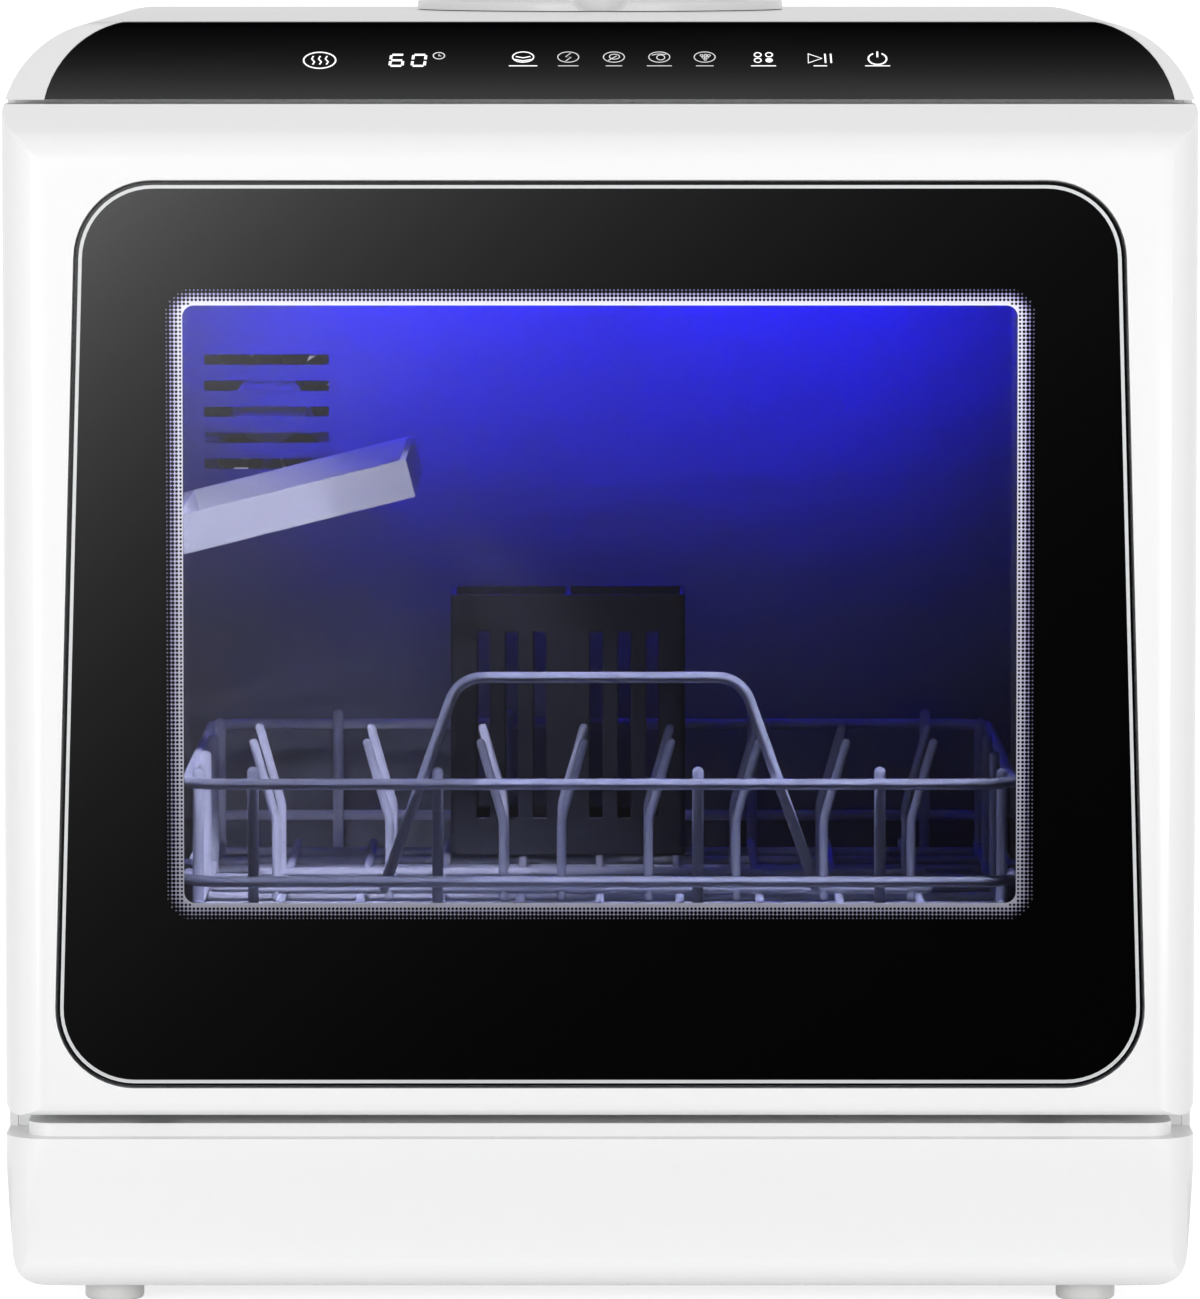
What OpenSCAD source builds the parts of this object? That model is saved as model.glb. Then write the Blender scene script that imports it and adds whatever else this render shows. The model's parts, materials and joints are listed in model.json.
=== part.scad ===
// Countertop dishwasher with a built-in water tank.
// Millimetres. Origin: middle of the footprint, on the surface it stands on.
// +X right, +Y to the rear, +Z up. The door faces -Y.

/* [Body] */
// Width over the casing
body_w = 420; // [412:1:450]
// Depth from the door face to the rear cover
body_d = 430; // [426:1:460]
// Height of the top face above the worktop
body_h = 454; // [448:1:480]
// Casing wall
wall_t = 3; // [2:0.5:4]
// Upright corners, seen from above
corner_r = 17; // [10:1:24]
// Top corners, seen from the front
top_r = 36; // [20:1:44]
// Rounding of the rear top edge
rear_top_r = 12; // [6:1:20]
// Height of the feet
foot_h = 8; // [6:1:12]
// Diameter of the feet
foot_d = 21; // [16:1:30]
// Distance of the feet from the sides
foot_inset = 37; // [30:1:60]

/* [Base] */
// Height of the base tray
base_h = 54; // [48:1:60]
// How far the base draws in at the bottom, each side
base_draft = 3.5; // [0:0.5:6]
// Rounding of the lower edges
base_edge_r = 13; // [6:1:18]
// Height of the gap between base and door
groove_h = 8; // [7:0.5:12]
// Depth of that gap
groove_in = 8; // [4:1:12]

/* [Front slope] */
// Height of the sloping band
slope_rise = 43; // [36:1:50]
// Angle of the slope from level
slope_angle = 41; // [36:1:46]
// Rounding between the front face and the slope
slope_r = 18; // [8:1:24]
// Rounding between the slope and the top
brow_r = 8; // [2:1:12]
// Height of the touch panel, seen from the front
panel_h = 27; // [20:1:32]
// Distance of the touch panel's left end from the side
panel_left = 14.4; // [10:0.1:20]
// Distance of its right end from the side
panel_right = 7.7; // [6:0.1:20]
// Rounding of its upper corners
panel_r = 33; // [20:1:40]
// Thickness of the touch panel
panel_t = 1.6; // [1:0.1:2.4]
// Number of keys behind the touch panel
key_count = 9; // [5:1:9]
// Spacing of those keys
key_pitch = 17; // [14:1:19]

/* [Door] */
// Thickness of the door
door_t = 35; // [32:1:40]
// Gap between the closed door and the front frame
door_gap = 3; // [2.5:0.5:4]
// Seam above the door
door_seam = 1.4; // [1.2:0.1:3]
// Rounding of the door's outer lower edge
door_edge_r = 5; // [2:0.5:6]
// Rounding of its inner lower edge
door_heel_r = 10; // [9:0.5:11]
// Hinge axis behind the front face
hinge_in = 12; // [11:0.5:13]
// Hinge axis above the door's lower edge
hinge_up = 12; // [11:0.5:13]
// Hinge pin diameter
hinge_pin_d = 8; // [6:0.5:8]
// Hinges' distance from the middle
hinge_x = 157; // [140:1:165]
// Width of a hinge ear
ear_w = 8; // [5:0.5:12]
// Width of the glass at its top
glass_top_w = 366.8; // [350:0.1:370]
// Width of the glass at its bottom
glass_bottom_w = 384.8; // [370:0.1:388]
// Lower edge of the glass above the door's lower edge
glass_foot = 10; // [8:0.5:14]
// Height of the glass
glass_h = 319.5; // [300:0.5:321]
// Corner radius of the glass
glass_r = 28; // [16:1:36]
// Thickness of the outer glass
glass_t = 3.2; // [2.5:0.1:4]
// Distance of the silver line from the glass's edge
ring_in = 1.8; // [1:0.1:4]
// Width of the silver line
ring_w = 1.2; // [0.8:0.1:3]
// Width of the clear window
window_w = 292.4; // [240:0.1:294]
// Height of the clear window
window_h = 210.2; // [180:0.1:212]
// Lower edge of the window above the worktop
window_z = 145.3; // [143:0.1:150]
// Corner radius of the window
window_r = 4; // [2:0.5:8]
// Thickness of the inner pane
pane_t = 4; // [3:0.5:5]
// Width of the window seal
gasket_w = 8; // [6:0.5:8]

/* [Wash chamber] */
// Inside width
tub_w = 336; // [332:1:340]
// Inside depth
tub_d = 290; // [286:1:294]
// Inside height
tub_h = 280; // [276:1:281]
// Height of its floor above the worktop
tub_z = 104; // [104:0.5:105]
// Wall
tub_t = 2; // [1.5:0.5:2.5]
// Corner radius
tub_r = 14; // [6:1:18]
// Width of the flange round its mouth
flange_w = 12; // [8:1:12]
// Width of the door seal
seal_w = 6; // [4:0.5:7]

/* [Spray arms] */
// Radius of the lower arm
arm_r = 128; // [100:1:132]
// Radius of the upper arm
top_arm_r = 118; // [90:1:125]
// Width of an arm
arm_w = 26; // [18:1:30]
// Thickness of an arm
arm_t = 10; // [8:0.5:11]
// Diameter of the posts that carry the arms
post_d = 16; // [12:1:18]
// Distance of the arms' axis behind the middle of the body
arm_y = -30; // [-34:1:-26]

/* [Sump and filter] */
// Filter's place to the right
filter_x = 80; // [78:1:84]
// Filter's place behind the middle of the body
filter_y = -75; // [-78:1:-73]
// Inside diameter of the sump
sump_d = 70; // [66:1:72]
// Depth of the sump below the chamber floor
sump_h = 40; // [36:1:42]
// Diameter of a filter hole
mesh_d = 5; // [3:0.5:6]

/* [Rack] */
// Width of the rack
rack_w = 300; // [290:1:304]
// Depth of the rack
rack_d = 250; // [240:1:252]
// Front of the rack behind the door's face
rack_in = 58; // [58:1:60]
// Height of the rack's floor above the chamber's
rack_up = 33; // [31:1:34]
// Height of the lower rail above the rack's floor
low_rail = 10; // [8:0.5:12]
// Height of the upper rail above the rack's floor
high_rail = 45; // [36:1:50]
// Diameter of the rails
rail_d = 4; // [3.5:0.1:4.5]
// Diameter of the grid wires
grid_d = 3.2; // [2.6:0.1:3.4]
// Bend radius at the rack's corners
rack_r = 14; // [10:1:18]
// Height of the handle hoop above the rack's floor
hoop_h = 83; // [60:1:90]
// Half the width of the hoop's top bar
hoop_half = 42; // [30:1:50]
// Lean of the hoop's legs
hoop_lean = 19.6; // [10:0.1:26]
// Spacing of the plate tines
tine_pitch = 31.6; // [28:0.1:32]
// Height of the tines above the rack's floor
tine_h = 56; // [40:1:60]
// Lean of the tines' upper part
tine_lean = 16; // [8:1:20]

/* [Basket and shelf] */
// Width of the cutlery basket
basket_w = 88; // [70:1:92]
// Depth of the cutlery basket
basket_d = 46; // [36:1:50]
// Height of the cutlery basket
basket_h = 98; // [80:1:104]
// Wall of the cutlery basket
basket_t = 1.8; // [1.4:0.1:2.4]
// Length of the cup shelf from its hinge
shelf_l = 92; // [80:1:96]
// Depth of the cup shelf
shelf_d = 150; // [120:1:160]
// Height of the shelf's rim
shelf_t = 14; // [10:1:16]
// Height of the shelf's hinge above the chamber's floor
shelf_up = 160; // [150:1:165]
// Angle at which the open shelf rests
shelf_tilt = 14; // [10:1:18]
// Diameter of the shelf's hinge rod
shelf_rod_d = 5; // [4:0.5:6]

/* [Water tank] */
// Width of the tank
tank_w = 245; // [230:1:248]
// Depth of the tank
tank_d = 64; // [58:1:66]
// Height of the tank's bottom above the worktop
tank_z = 110; // [108:1:114]
// Wall of the tank
tank_t = 2.5; // [2:0.5:3]
// Diameter of the lid
lid_d = 140; // [120:1:144]
// Height of the lid above the top face
lid_h = 4.4; // [4.2:0.1:5.4]
// Middle of the lid in front of the rear face
lid_in = 88; // [86:1:92]
// Inside diameter of the filler neck
neck_d = 100; // [80:1:104]
// Diameter of the lid's hinge rod
lid_rod_d = 2.4; // [2:0.1:2.6]

/* [Rear] */
// Width of the connection recess
recess_w = 120; // [110:1:124]
// Height of the connection recess
recess_h = 44; // [42:1:46]
// Depth of the connection recess
recess_d = 20; // [18:1:22]
// Diameter of the inlet spigot
inlet_d = 26.4; // [20:0.1:26.4]
// Diameter of the drain spigot
drain_d = 20; // [16:0.5:20]
// Length of both spigots
spigot_l = 15; // [12:1:16]
// Diameter of the fan
fan_d = 66; // [50:1:68]
// Number of fan blades
blade_count = 11; // [7:1:15]
// Number of slots in the rear grille
grille_slots = 9; // [5:1:10]

/* [Hidden] */
$fn = 72;
eps = 0.01;
seat_gap = 0.3;
run_gap = 0.06;

half_w = body_w / 2;
front_y = -body_d / 2;
rear_y = body_d / 2;
base_top = foot_h + base_h;
door_bottom = base_top + groove_h;
slope_z = body_h - slope_rise;
slope_run = slope_rise / tan(slope_angle);
slope_wall = wall_t + 1;
panel_z = body_h - panel_h;
door_top = panel_z - door_seam;
door_back = front_y + door_t;
frame_y = door_back + door_gap;
frame_t = 3;
hinge_y = front_y + hinge_in;
hinge_z = door_bottom + hinge_up;
hinge_r = 6.5;
notch_w = ear_w + 6;
cheek_w = 7;
glass_z = door_bottom + glass_foot;
glass_in = 0.3;
glass_back = front_y + glass_in + glass_t;
mask_t = 0.5;
ledge_t = 3;
skin_y = glass_back + mask_t;
liner_t = 2;
sight = 6;

tub_front = frame_y + frame_t;
tub_back = tub_front + tub_d;
tub_top = tub_z + tub_h;
ledge_w = 11;
ledge_h = 3;
ledge_z = tub_z + 16;

post_r = post_d / 2;
arm_z = tub_z + 13;
top_arm_z = tub_top - 23;
cap_h = 4;

sump_r = sump_d / 2;
pump_z = tub_z - 28;
pump_x1 = filter_x - sump_r - 6;
volute_w = 16;
feed_x = pump_x1 - volute_w / 2;
feed_r = 7;
feed_y = tub_back + tub_t + feed_r + 1.5;
feed_top = tub_top + tub_t + feed_r + 1;
fill_x = -30;
fill_y = tub_back - 18;

rack_front = front_y + rack_in + rail_d / 2;
rack_back = rack_front + rack_d - rail_d;
rack_z = tub_z + rack_up;
rail_r = rail_d / 2;
grid_r = grid_d / 2;
cross_z = rack_z - grid_d + 0.2;

shelf_x = -tub_w / 2 + shelf_t - 3;
shelf_z = tub_z + shelf_up;
shelf_rod_r = shelf_rod_d / 2;
shelf_y = -34;

tank_right = 165;
tank_left = tank_right - tank_w;
tank_back = rear_y - wall_t - 12;
tank_front = tank_back - tank_d;
tank_top = body_h - wall_t - 11;
lid_y = rear_y - lid_in;
lid_z = body_h + seat_gap;
lid_rod_y = lid_y + lid_d / 2 + 3.5;
lid_rod_z = body_h + lid_h / 2;
neck_r = neck_d / 2;
neck_top = body_h - 1.5;
tank_nose = lid_y - neck_r - 8;

port_z = base_top + 21;
inlet_x = 80;
drain_x = 130;
recess_x = (inlet_x + drain_x) / 2;
recess_y = rear_y - recess_d;
fan_x = -128;
fan_z = 300;
fan_y = rear_y - 32;
duct_r = fan_d / 2 + 6;
cover_y = rear_y - 26;

latch_z = door_top - 20.6;
key_z = (panel_z + body_h) / 2;

// ---- Outlines ----------------------------------------------------------

function unit(v) = v / norm(v);

// An outline of straight sides whose corners are rounded, each to its own radius.
// The points run anticlockwise.
module rounded_outline(pts, radii) {
    n = len(pts);
    back = [for (i = [0:n - 1]) unit(pts[(i + n - 1) % n] - pts[i])];
    ahead = [for (i = [0:n - 1]) unit(pts[(i + 1) % n] - pts[i])];
    half = [for (i = [0:n - 1]) acos(back[i] * ahead[i]) / 2];
    centre = [for (i = [0:n - 1]) pts[i] + unit(back[i] + ahead[i]) * radii[i] / sin(half[i])];
    polygon([for (i = [0:n - 1]) let (cut = radii[i] / tan(half[i]))
        each radii[i] > 0 ? [pts[i] + back[i] * cut, centre[i], pts[i] + ahead[i] * cut] : [pts[i]]]);
    for (i = [0:n - 1])
        if (radii[i] > 0)
            translate(centre[i]) circle(r = radii[i]);
}

module rounded_box_2d(x0, y0, x1, y1, r) {
    rounded_outline([[x0, y0], [x1, y0], [x1, y1], [x0, y1]], [r, r, r, r]);
}

// Extrudes an outline drawn in X and Z along Y
module along_y(y0, y1) {
    translate([0, y1, 0]) rotate([90, 0, 0]) linear_extrude(y1 - y0) children();
}

// Extrudes an outline drawn in Y and Z along X
module along_x(x0, x1) {
    translate([x0, 0, 0]) rotate([90, 0, 90]) linear_extrude(x1 - x0) children();
}

module box(x0, y0, z0, x1, y1, z1) {
    translate([x0, y0, z0]) cube([x1 - x0, y1 - y0, z1 - z0]);
}

module rod_x(x0, x1, y, z, r) {
    translate([x0, y, z]) rotate([0, 90, 0]) cylinder(h = x1 - x0, r = r);
}

module rod_y(x, y0, y1, z, r) {
    translate([x, y1, z]) rotate([90, 0, 0]) cylinder(h = y1 - y0, r = r);
}

module rod_z(x, y, z0, z1, r) {
    translate([x, y, z0]) cylinder(h = z1 - z0, r = r);
}

module pair_x() {
    children();
    mirror([1, 0, 0]) children();
}

// A disc with a rounded upper rim
module button(r, h, edge) {
    cylinder(h = h - edge, r = r);
    cylinder(h = h, r = r - edge);
    translate([0, 0, h - edge]) rotate_extrude() translate([r - edge, 0]) circle(r = edge);
}

// ---- The body's outer form ---------------------------------------------

module plan_2d(inset = 0) {
    rounded_box_2d(-half_w + inset, front_y + inset, half_w - inset, rear_y - inset,
        corner_r - inset);
}

module front_2d(inset = 0, z0 = base_top, foot_r = 0) {
    rounded_outline([[-half_w + inset, z0], [half_w - inset, z0],
        [half_w - inset, body_h - inset], [-half_w + inset, body_h - inset]],
        [foot_r, foot_r, top_r - inset, top_r - inset]);
}

// The side view: front face, slope, top and rear
module side_2d(inset = 0, slope_inset = 0, z0 = base_top) {
    lean = slope_inset / sin(slope_angle);
    bend_z = slope_z - (lean - inset) * tan(slope_angle);
    crest_y = front_y + slope_run + lean - inset / tan(slope_angle);
    rounded_outline([[front_y + inset, z0], [rear_y - inset, z0], [rear_y - inset, body_h - inset],
        [crest_y, body_h - inset], [front_y + inset, bend_z]],
        [0, 0, rear_top_r - inset, brow_r, slope_r - inset]);
}

module body_form(inset = 0, slope_inset = 0, z0 = base_top) {
    intersection() {
        along_x(-half_w, half_w) side_2d(inset, slope_inset, z0);
        along_y(front_y, rear_y) front_2d(inset, z0);
        translate([0, 0, z0]) linear_extrude(body_h - z0) plan_2d(inset);
    }
}

// A slab on the slope, from depth d0 to depth d1 below its face
module slope_slab(d0, d1, x0 = -half_w, x1 = half_w) {
    translate([0, front_y, slope_z]) rotate([slope_angle, 0, 0])
        box(x0, -30, -d1, x1, slope_rise / sin(slope_angle) + 30, -d0);
}

// The touch panel seen from the front
module panel_2d(inset = 0) {
    intersection() {
        rounded_box_2d(-half_w + panel_left + inset, slope_z - 40,
            half_w - panel_right - inset, body_h + 0.4 - inset, panel_r - inset);
        translate([-half_w, panel_z + inset]) square([body_w, panel_h + 10]);
    }
}

// ---- Base --------------------------------------------------------------

module base_front_2d(inset = 0) {
    draft_z = base_top - 9;
    low = half_w - base_draft - inset;
    high = half_w - inset;
    rounded_outline([[-low, foot_h + inset], [low, foot_h + inset], [high, draft_z],
        [high, base_top], [-high, base_top], [-high, draft_z]],
        [base_edge_r - inset, base_edge_r - inset, 0, 0, 0, 0]);
}

module base_side_2d(inset = 0) {
    draft_z = base_top - 9;
    low = rear_y - base_draft - inset;
    high = rear_y - inset;
    rounded_outline([[-low, foot_h + inset], [low, foot_h + inset], [high, draft_z],
        [high, base_top], [-high, base_top], [-high, draft_z]],
        [base_edge_r - inset, base_edge_r - inset, 0, 0, 0, 0]);
}

module base_form(inset = 0) {
    intersection() {
        along_y(front_y, rear_y) base_front_2d(inset);
        along_x(-half_w, half_w) base_side_2d(inset);
        translate([0, 0, foot_h]) linear_extrude(base_h) plan_2d(inset);
    }
}

base_floor = foot_h + wall_t;
tub_posts = [for (x = [-148, 148], y = [tub_front + 26, tub_back - 20]) [x, y]];
tank_posts = [[tank_left + 12, tank_back - 18], [10, tank_back - 18], [tank_right - 12, tank_back - 18]];
float_x = 75;
float_y = 60;

module base_tray() color("white") {
    difference() {
        union() {
            difference() {
                base_form();
                difference() {
                    base_form(wall_t);
                    // The front wall is closed at the top by a shelf under the door
                    box(-half_w, front_y, base_top - wall_t, half_w, frame_y + frame_t, base_top + 1);
                }
                translate([0, 0, base_top - eps]) linear_extrude(1) plan_2d(wall_t + 40);
            }
            // Recessed neck in the gap below the door
            intersection() {
                translate([0, 0, base_top - 1]) linear_extrude(groove_h - 3.4 + 1) plan_2d(groove_in);
                box(-half_w, front_y, base_top - 1, half_w, frame_y, base_top + groove_h);
            }
            for (p = tub_posts)
                rod_z(p[0], p[1], base_floor - 1, tub_z - tub_t, 7);
            for (p = tank_posts)
                rod_z(p[0], p[1], base_floor - 1, tank_z, 7);
            rod_z(float_x, float_y, base_floor - 1, base_floor + 34, 5);
            for (p = power_posts)
                rod_z(p[0], p[1], base_floor - 1, power_z, 3.5);
        }
        for (p = concat(tub_posts, tank_posts))
            rod_z(p[0], p[1], foot_h + 8, tub_z + 20, 2);
    }
}

power_x = -150;
power_y = 30;
power_z = base_floor + 7;
power_posts = [for (dx = [-36, 36], dy = [-36, 36]) [power_x + dx, power_y + dy]];

module rubber_feet() color("gainsboro")
    for (x = [-1, 1], y = [-1, 1])
        translate([x * (half_w - foot_inset), y * (rear_y - foot_inset - 3), 0])
            translate([0, 0, foot_h]) mirror([0, 0, 1]) button(foot_d / 2, foot_h, 1.5);

// ---- Casing ------------------------------------------------------------

boss_z = [base_top + 40, body_h - 90];
screw_x = half_w - corner_r - 9;
lug_x = 27;
lug_w = 6;

module outer_casing() color("white") {
    difference() {
        union() {
            intersection() {
                difference() {
                    body_form();
                    body_form(wall_t, slope_wall, base_top - 1);
                }
                union() {
                    box(-half_w, frame_y, base_top, half_w, cover_y, body_h + 1);
                    box(-half_w, front_y, panel_z, half_w, frame_y + 1, body_h + 1);
                }
            }
            // Underside of the console
            intersection() {
                body_form();
                box(-half_w + 1, front_y, panel_z, half_w - 1, frame_y, panel_z + wall_t);
            }
            // Screw bosses for the rear cover
            pair_x() for (z = boss_z)
                box(screw_x - 7, cover_y - 16, z - 7, half_w - wall_t + 1, cover_y, z + 7);
        }
        // Seat of the touch panel
        intersection() {
            slope_slab(-5, panel_t);
            along_y(front_y - 1, front_y + slope_run + 30) panel_2d();
        }
        // Window for the display and keys
        intersection() {
            slope_slab(0, slope_wall + 4, -104, 106);
            along_y(front_y - 1, front_y + slope_run + 30)
                translate([-104, key_z - 8]) square([210, 13]);
        }
        rod_z(0, lid_y, body_h - wall_t - 5, body_h + 1, neck_r + 5.5);
        pair_x() for (z = boss_z)
            rod_y(screw_x, cover_y - 12, cover_y + 1, z, 2);
    }
}

module front_frame() color("whitesmoke") {
    inner_top = slope_z + (frame_y - front_y) * tan(slope_angle) - (slope_wall + 6) / cos(slope_angle);
    difference() {
        intersection() {
            along_y(frame_y, frame_y + frame_t) front_2d(wall_t, base_top);
            box(-half_w, frame_y, base_top, half_w, frame_y + frame_t, inner_top);
        }
        along_y(frame_y - 1, frame_y + frame_t + 1)
            rounded_box_2d(-tub_w / 2, tub_z, tub_w / 2, tub_top, tub_r);
        box(-11, frame_y - 1, latch_z - 3, 11, frame_y + 5, latch_z + 9);
        pair_x() box(hinge_x - ear_w / 2 - 1, frame_y - 1, hinge_z - 6,
            hinge_x + ear_w / 2 + 1, frame_y + 5, hinge_z + 6);
    }
}

module rear_cover() color("white") {
    slot_pitch = fan_d / grille_slots;
    difference() {
        union() {
            intersection() {
                difference() {
                    body_form();
                    body_form(wall_t, slope_wall, base_top - 1);
                }
                box(-half_w, cover_y, base_top, half_w, rear_y, body_h + 1);
            }
            // Pan of the connection recess
            box(recess_x - recess_w / 2 - wall_t, recess_y - wall_t, base_top,
                recess_x + recess_w / 2 + wall_t, rear_y - 1, base_top + recess_h + wall_t);
            // Ears for the lid's hinge rod
            for (s = [-1, 1]) {
                rod_x(s * lug_x - lug_w / 2, s * lug_x + lug_w / 2, lid_rod_y, lid_rod_z, lid_h / 2);
                box(s * lug_x - lug_w / 2, lid_rod_y - lid_h / 2 + 0.6, body_h - 1,
                    s * lug_x + lug_w / 2, lid_rod_y + lid_h / 2 - 0.6, lid_rod_z);
            }
            // Pads behind the screws
            pair_x() for (z = boss_z)
                box(screw_x - 7, cover_y + seat_gap, z - 7, screw_x + 7, rear_y - 1, z + 7);
        }
        box(recess_x - recess_w / 2, recess_y, base_top - 1,
            recess_x + recess_w / 2, rear_y + 1, base_top + recess_h);
        rod_x(-lug_x - lug_w, lug_x + lug_w, lid_rod_y, lid_rod_z, lid_rod_d / 2 + run_gap);
        rod_y(inlet_x, recess_y - wall_t - 1, recess_y + 1, port_z, 9);
        rod_y(drain_x, recess_y - wall_t - 1, recess_y + 1, port_z, 7);
        rod_y(-150, rear_y - wall_t - 1, rear_y + 1, port_z, 8);
        for (i = [0:grille_slots - 1]) {
            z = fan_z + (i - (grille_slots - 1) / 2) * slot_pitch;
            reach = sqrt(pow(fan_d / 2 + 2, 2) - pow(z - fan_z, 2));
            box(fan_x - reach, rear_y - 5, z - 2, fan_x + reach, rear_y + 1, z + 2);
        }
        pair_x() for (z = boss_z) {
            rod_y(screw_x, cover_y - 1, rear_y + 1, z, 2.2);
            rod_y(screw_x, rear_y - 3, rear_y + 1, z, 4.2);
        }
    }
}

module rear_screws() color("silver")
    pair_x() for (z = boss_z) {
        difference() {
            rod_y(screw_x, rear_y - 3, rear_y - 0.6, z, 3.8);
            rod_y(screw_x, rear_y - 1.8, rear_y, z, 1.6);
        }
        rod_y(screw_x, cover_y - 10, rear_y - 2.9, z, 1.95);
    }

// ---- Controls ----------------------------------------------------------

module touch_panel() color([0.05, 0.05, 0.06])
    intersection() {
        slope_slab(0, panel_t);
        along_y(front_y - 1, front_y + slope_run + 30) panel_2d(0.15);
        body_form();
    }

// Circuit board under the slope, with its display and one sensing pad for each key
module control_board() color("darkgreen") {
    key_up = (key_z - slope_z) / sin(slope_angle);
    translate([0, front_y, slope_z]) rotate([slope_angle, 0, 0]) {
        box(-116, key_up - 5.5, -slope_wall - 4.6, 116, key_up + 12, -slope_wall - 3);
        box(-76, key_up - 4, -slope_wall - 3 - eps, -54, key_up + 4, -panel_t);
        for (i = [0:key_count - 1])
            translate([-34 + i * key_pitch, key_up, -slope_wall - 3 - eps])
                cylinder(h = slope_wall + 3 - panel_t, d = 7);
        pair_x() translate([110, key_up + 4, -slope_wall - 3 - eps]) cylinder(h = 3, d = 6);
    }
}

module latch_housing() color("dimgray")
    difference() {
        box(-22, frame_y + frame_t, latch_z - 8, 22, frame_y + frame_t + 24, latch_z + 20);
        box(-12, frame_y, latch_z - 3, 12, frame_y + frame_t + 20, latch_z + 9);
        box(-5.3, frame_y + frame_t + 3, latch_z + 8, 5.3, frame_y + frame_t + 15, latch_z + 21);
    }

module latch_pawl() color("orange") {
    y0 = frame_y + frame_t + 4;
    along_x(-5, 5)
        rounded_outline([[y0, latch_z + 5.6], [y0 + 10, latch_z + 5.6], [y0 + 10, latch_z + 16],
            [y0, latch_z + 16]], [2, 2, 0, 0]);
}

// ---- Wash chamber ------------------------------------------------------

module tub() color("lightgray")
    difference() {
        union() {
            difference() {
                along_y(tub_front, tub_back + tub_t)
                    rounded_box_2d(-tub_w / 2 - tub_t, tub_z - tub_t, tub_w / 2 + tub_t,
                        tub_top + tub_t, tub_r + tub_t);
                along_y(tub_front - 1, tub_back)
                    rounded_box_2d(-tub_w / 2, tub_z, tub_w / 2, tub_top, tub_r);
            }
            // Flange round the mouth
            difference() {
                along_y(tub_front, tub_front + 2)
                    rounded_box_2d(-tub_w / 2 - flange_w, tub_z - flange_w + 2, tub_w / 2 + flange_w,
                        tub_top + flange_w, tub_r + flange_w - 2);
                along_y(tub_front - 1, tub_front + 3)
                    rounded_box_2d(-tub_w / 2, tub_z, tub_w / 2, tub_top, tub_r);
            }
            // Runners for the rack
            pair_x() box(tub_w / 2 - ledge_w, tub_front, ledge_z, tub_w / 2 + 1, tub_back + 1,
                ledge_z + ledge_h);
        }
        rod_z(filter_x, filter_y, tub_z - 5, tub_z + 5, sump_r);
        rod_z(0, arm_y, tub_z - 5, tub_z + 5, post_r);
        rod_z(0, arm_y, tub_top - 5, tub_top + 5, post_r);
        rod_z(fill_x, fill_y, tub_z - 5, tub_z + 5, 4);
        // Warm air enters through a round of slots in the back
        for (i = [-2:2])
            box(fan_x - 24, tub_back - 3, fan_z + i * 10 - 2, fan_x + 24, tub_back + 5, fan_z + i * 10 + 2);
    }

module door_seal() color([0.25, 0.25, 0.27])
    difference() {
        along_y(door_back + seat_gap, frame_y)
            rounded_box_2d(-tub_w / 2 - seal_w - 1, tub_z - seal_w - 1, tub_w / 2 + seal_w + 1,
                tub_top + seal_w + 1, tub_r + 1 + seal_w);
        along_y(door_back, frame_y + 1)
            rounded_box_2d(-tub_w / 2 - 1, tub_z - 1, tub_w / 2 + 1, tub_top + 1, tub_r + 1);
    }

module chamber_lamp() color("royalblue")
    along_y(tub_front + 10, tub_front + 26)
        rounded_outline([[-62, tub_top], [-58, tub_top - 5], [58, tub_top - 5], [62, tub_top]],
            [0, 2, 2, 0]);

module shelf_bracket() color("gray") {
    rod_y(shelf_x, shelf_y - shelf_d / 2 - 9, shelf_y + shelf_d / 2 + 9, shelf_z, shelf_rod_r);
    for (s = [-1, 1]) {
        y = shelf_y + s * (shelf_d / 2 + 5);
        difference() {
            union() {
                rod_y(shelf_x, y - 3, y + 3, shelf_z, 4.8);
                box(-tub_w / 2, y - 3, shelf_z - 4.8, shelf_x, y + 3, shelf_z + 4.8);
            }
            rod_y(shelf_x, y - 4, y + 4, shelf_z, shelf_rod_r);
        }
    }
}

// Folding shelf: a rim round a floor of slats, hinged along its left edge
module cup_shelf() color("lightsteelblue") {
    slats = 9;
    pitch = (shelf_d - 10) / slats;
    translate([shelf_x, shelf_y, shelf_z]) rotate([0, -shelf_tilt, 0]) difference() {
        union() {
            rod_y(0, -shelf_d / 2, shelf_d / 2, 0, shelf_rod_r + 2);
            difference() {
                box(0, -shelf_d / 2, -shelf_rod_r - 2, shelf_l, shelf_d / 2, shelf_t - shelf_rod_r - 2);
                box(7, -shelf_d / 2 + 2.5, -shelf_rod_r + 1, shelf_l - 2.5, shelf_d / 2 - 2.5, shelf_t);
                for (i = [0:slats - 1])
                    box(12, -shelf_d / 2 + 5 + (i + 0.25) * pitch, -shelf_t, shelf_l - 10,
                        -shelf_d / 2 + 5 + (i + 0.75) * pitch, shelf_t);
            }
        }
        rod_y(0, -shelf_d, shelf_d, 0, shelf_rod_r + run_gap);
    }
}

// ---- Sump, pumps and pipes ---------------------------------------------

module sump() color("dimgray")
    difference() {
        union() {
            rod_z(filter_x, filter_y, tub_z - sump_h - 3, tub_z - tub_t, sump_r + 3);
            rod_z(filter_x, filter_y, tub_z - tub_t - 3, tub_z - tub_t, sump_r + 9);
            rod_x(pump_x1, filter_x, filter_y, pump_z, 10);
            rod_x(filter_x, filter_x + sump_r + 7, filter_y, pump_z, 8);
        }
        rod_z(filter_x, filter_y, tub_z - sump_h, tub_z + 1, sump_r);
        rod_x(pump_x1 - 1, filter_x, filter_y, pump_z, 7);
        rod_x(filter_x, filter_x + sump_r + 8, filter_y, pump_z, 5);
    }

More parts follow.
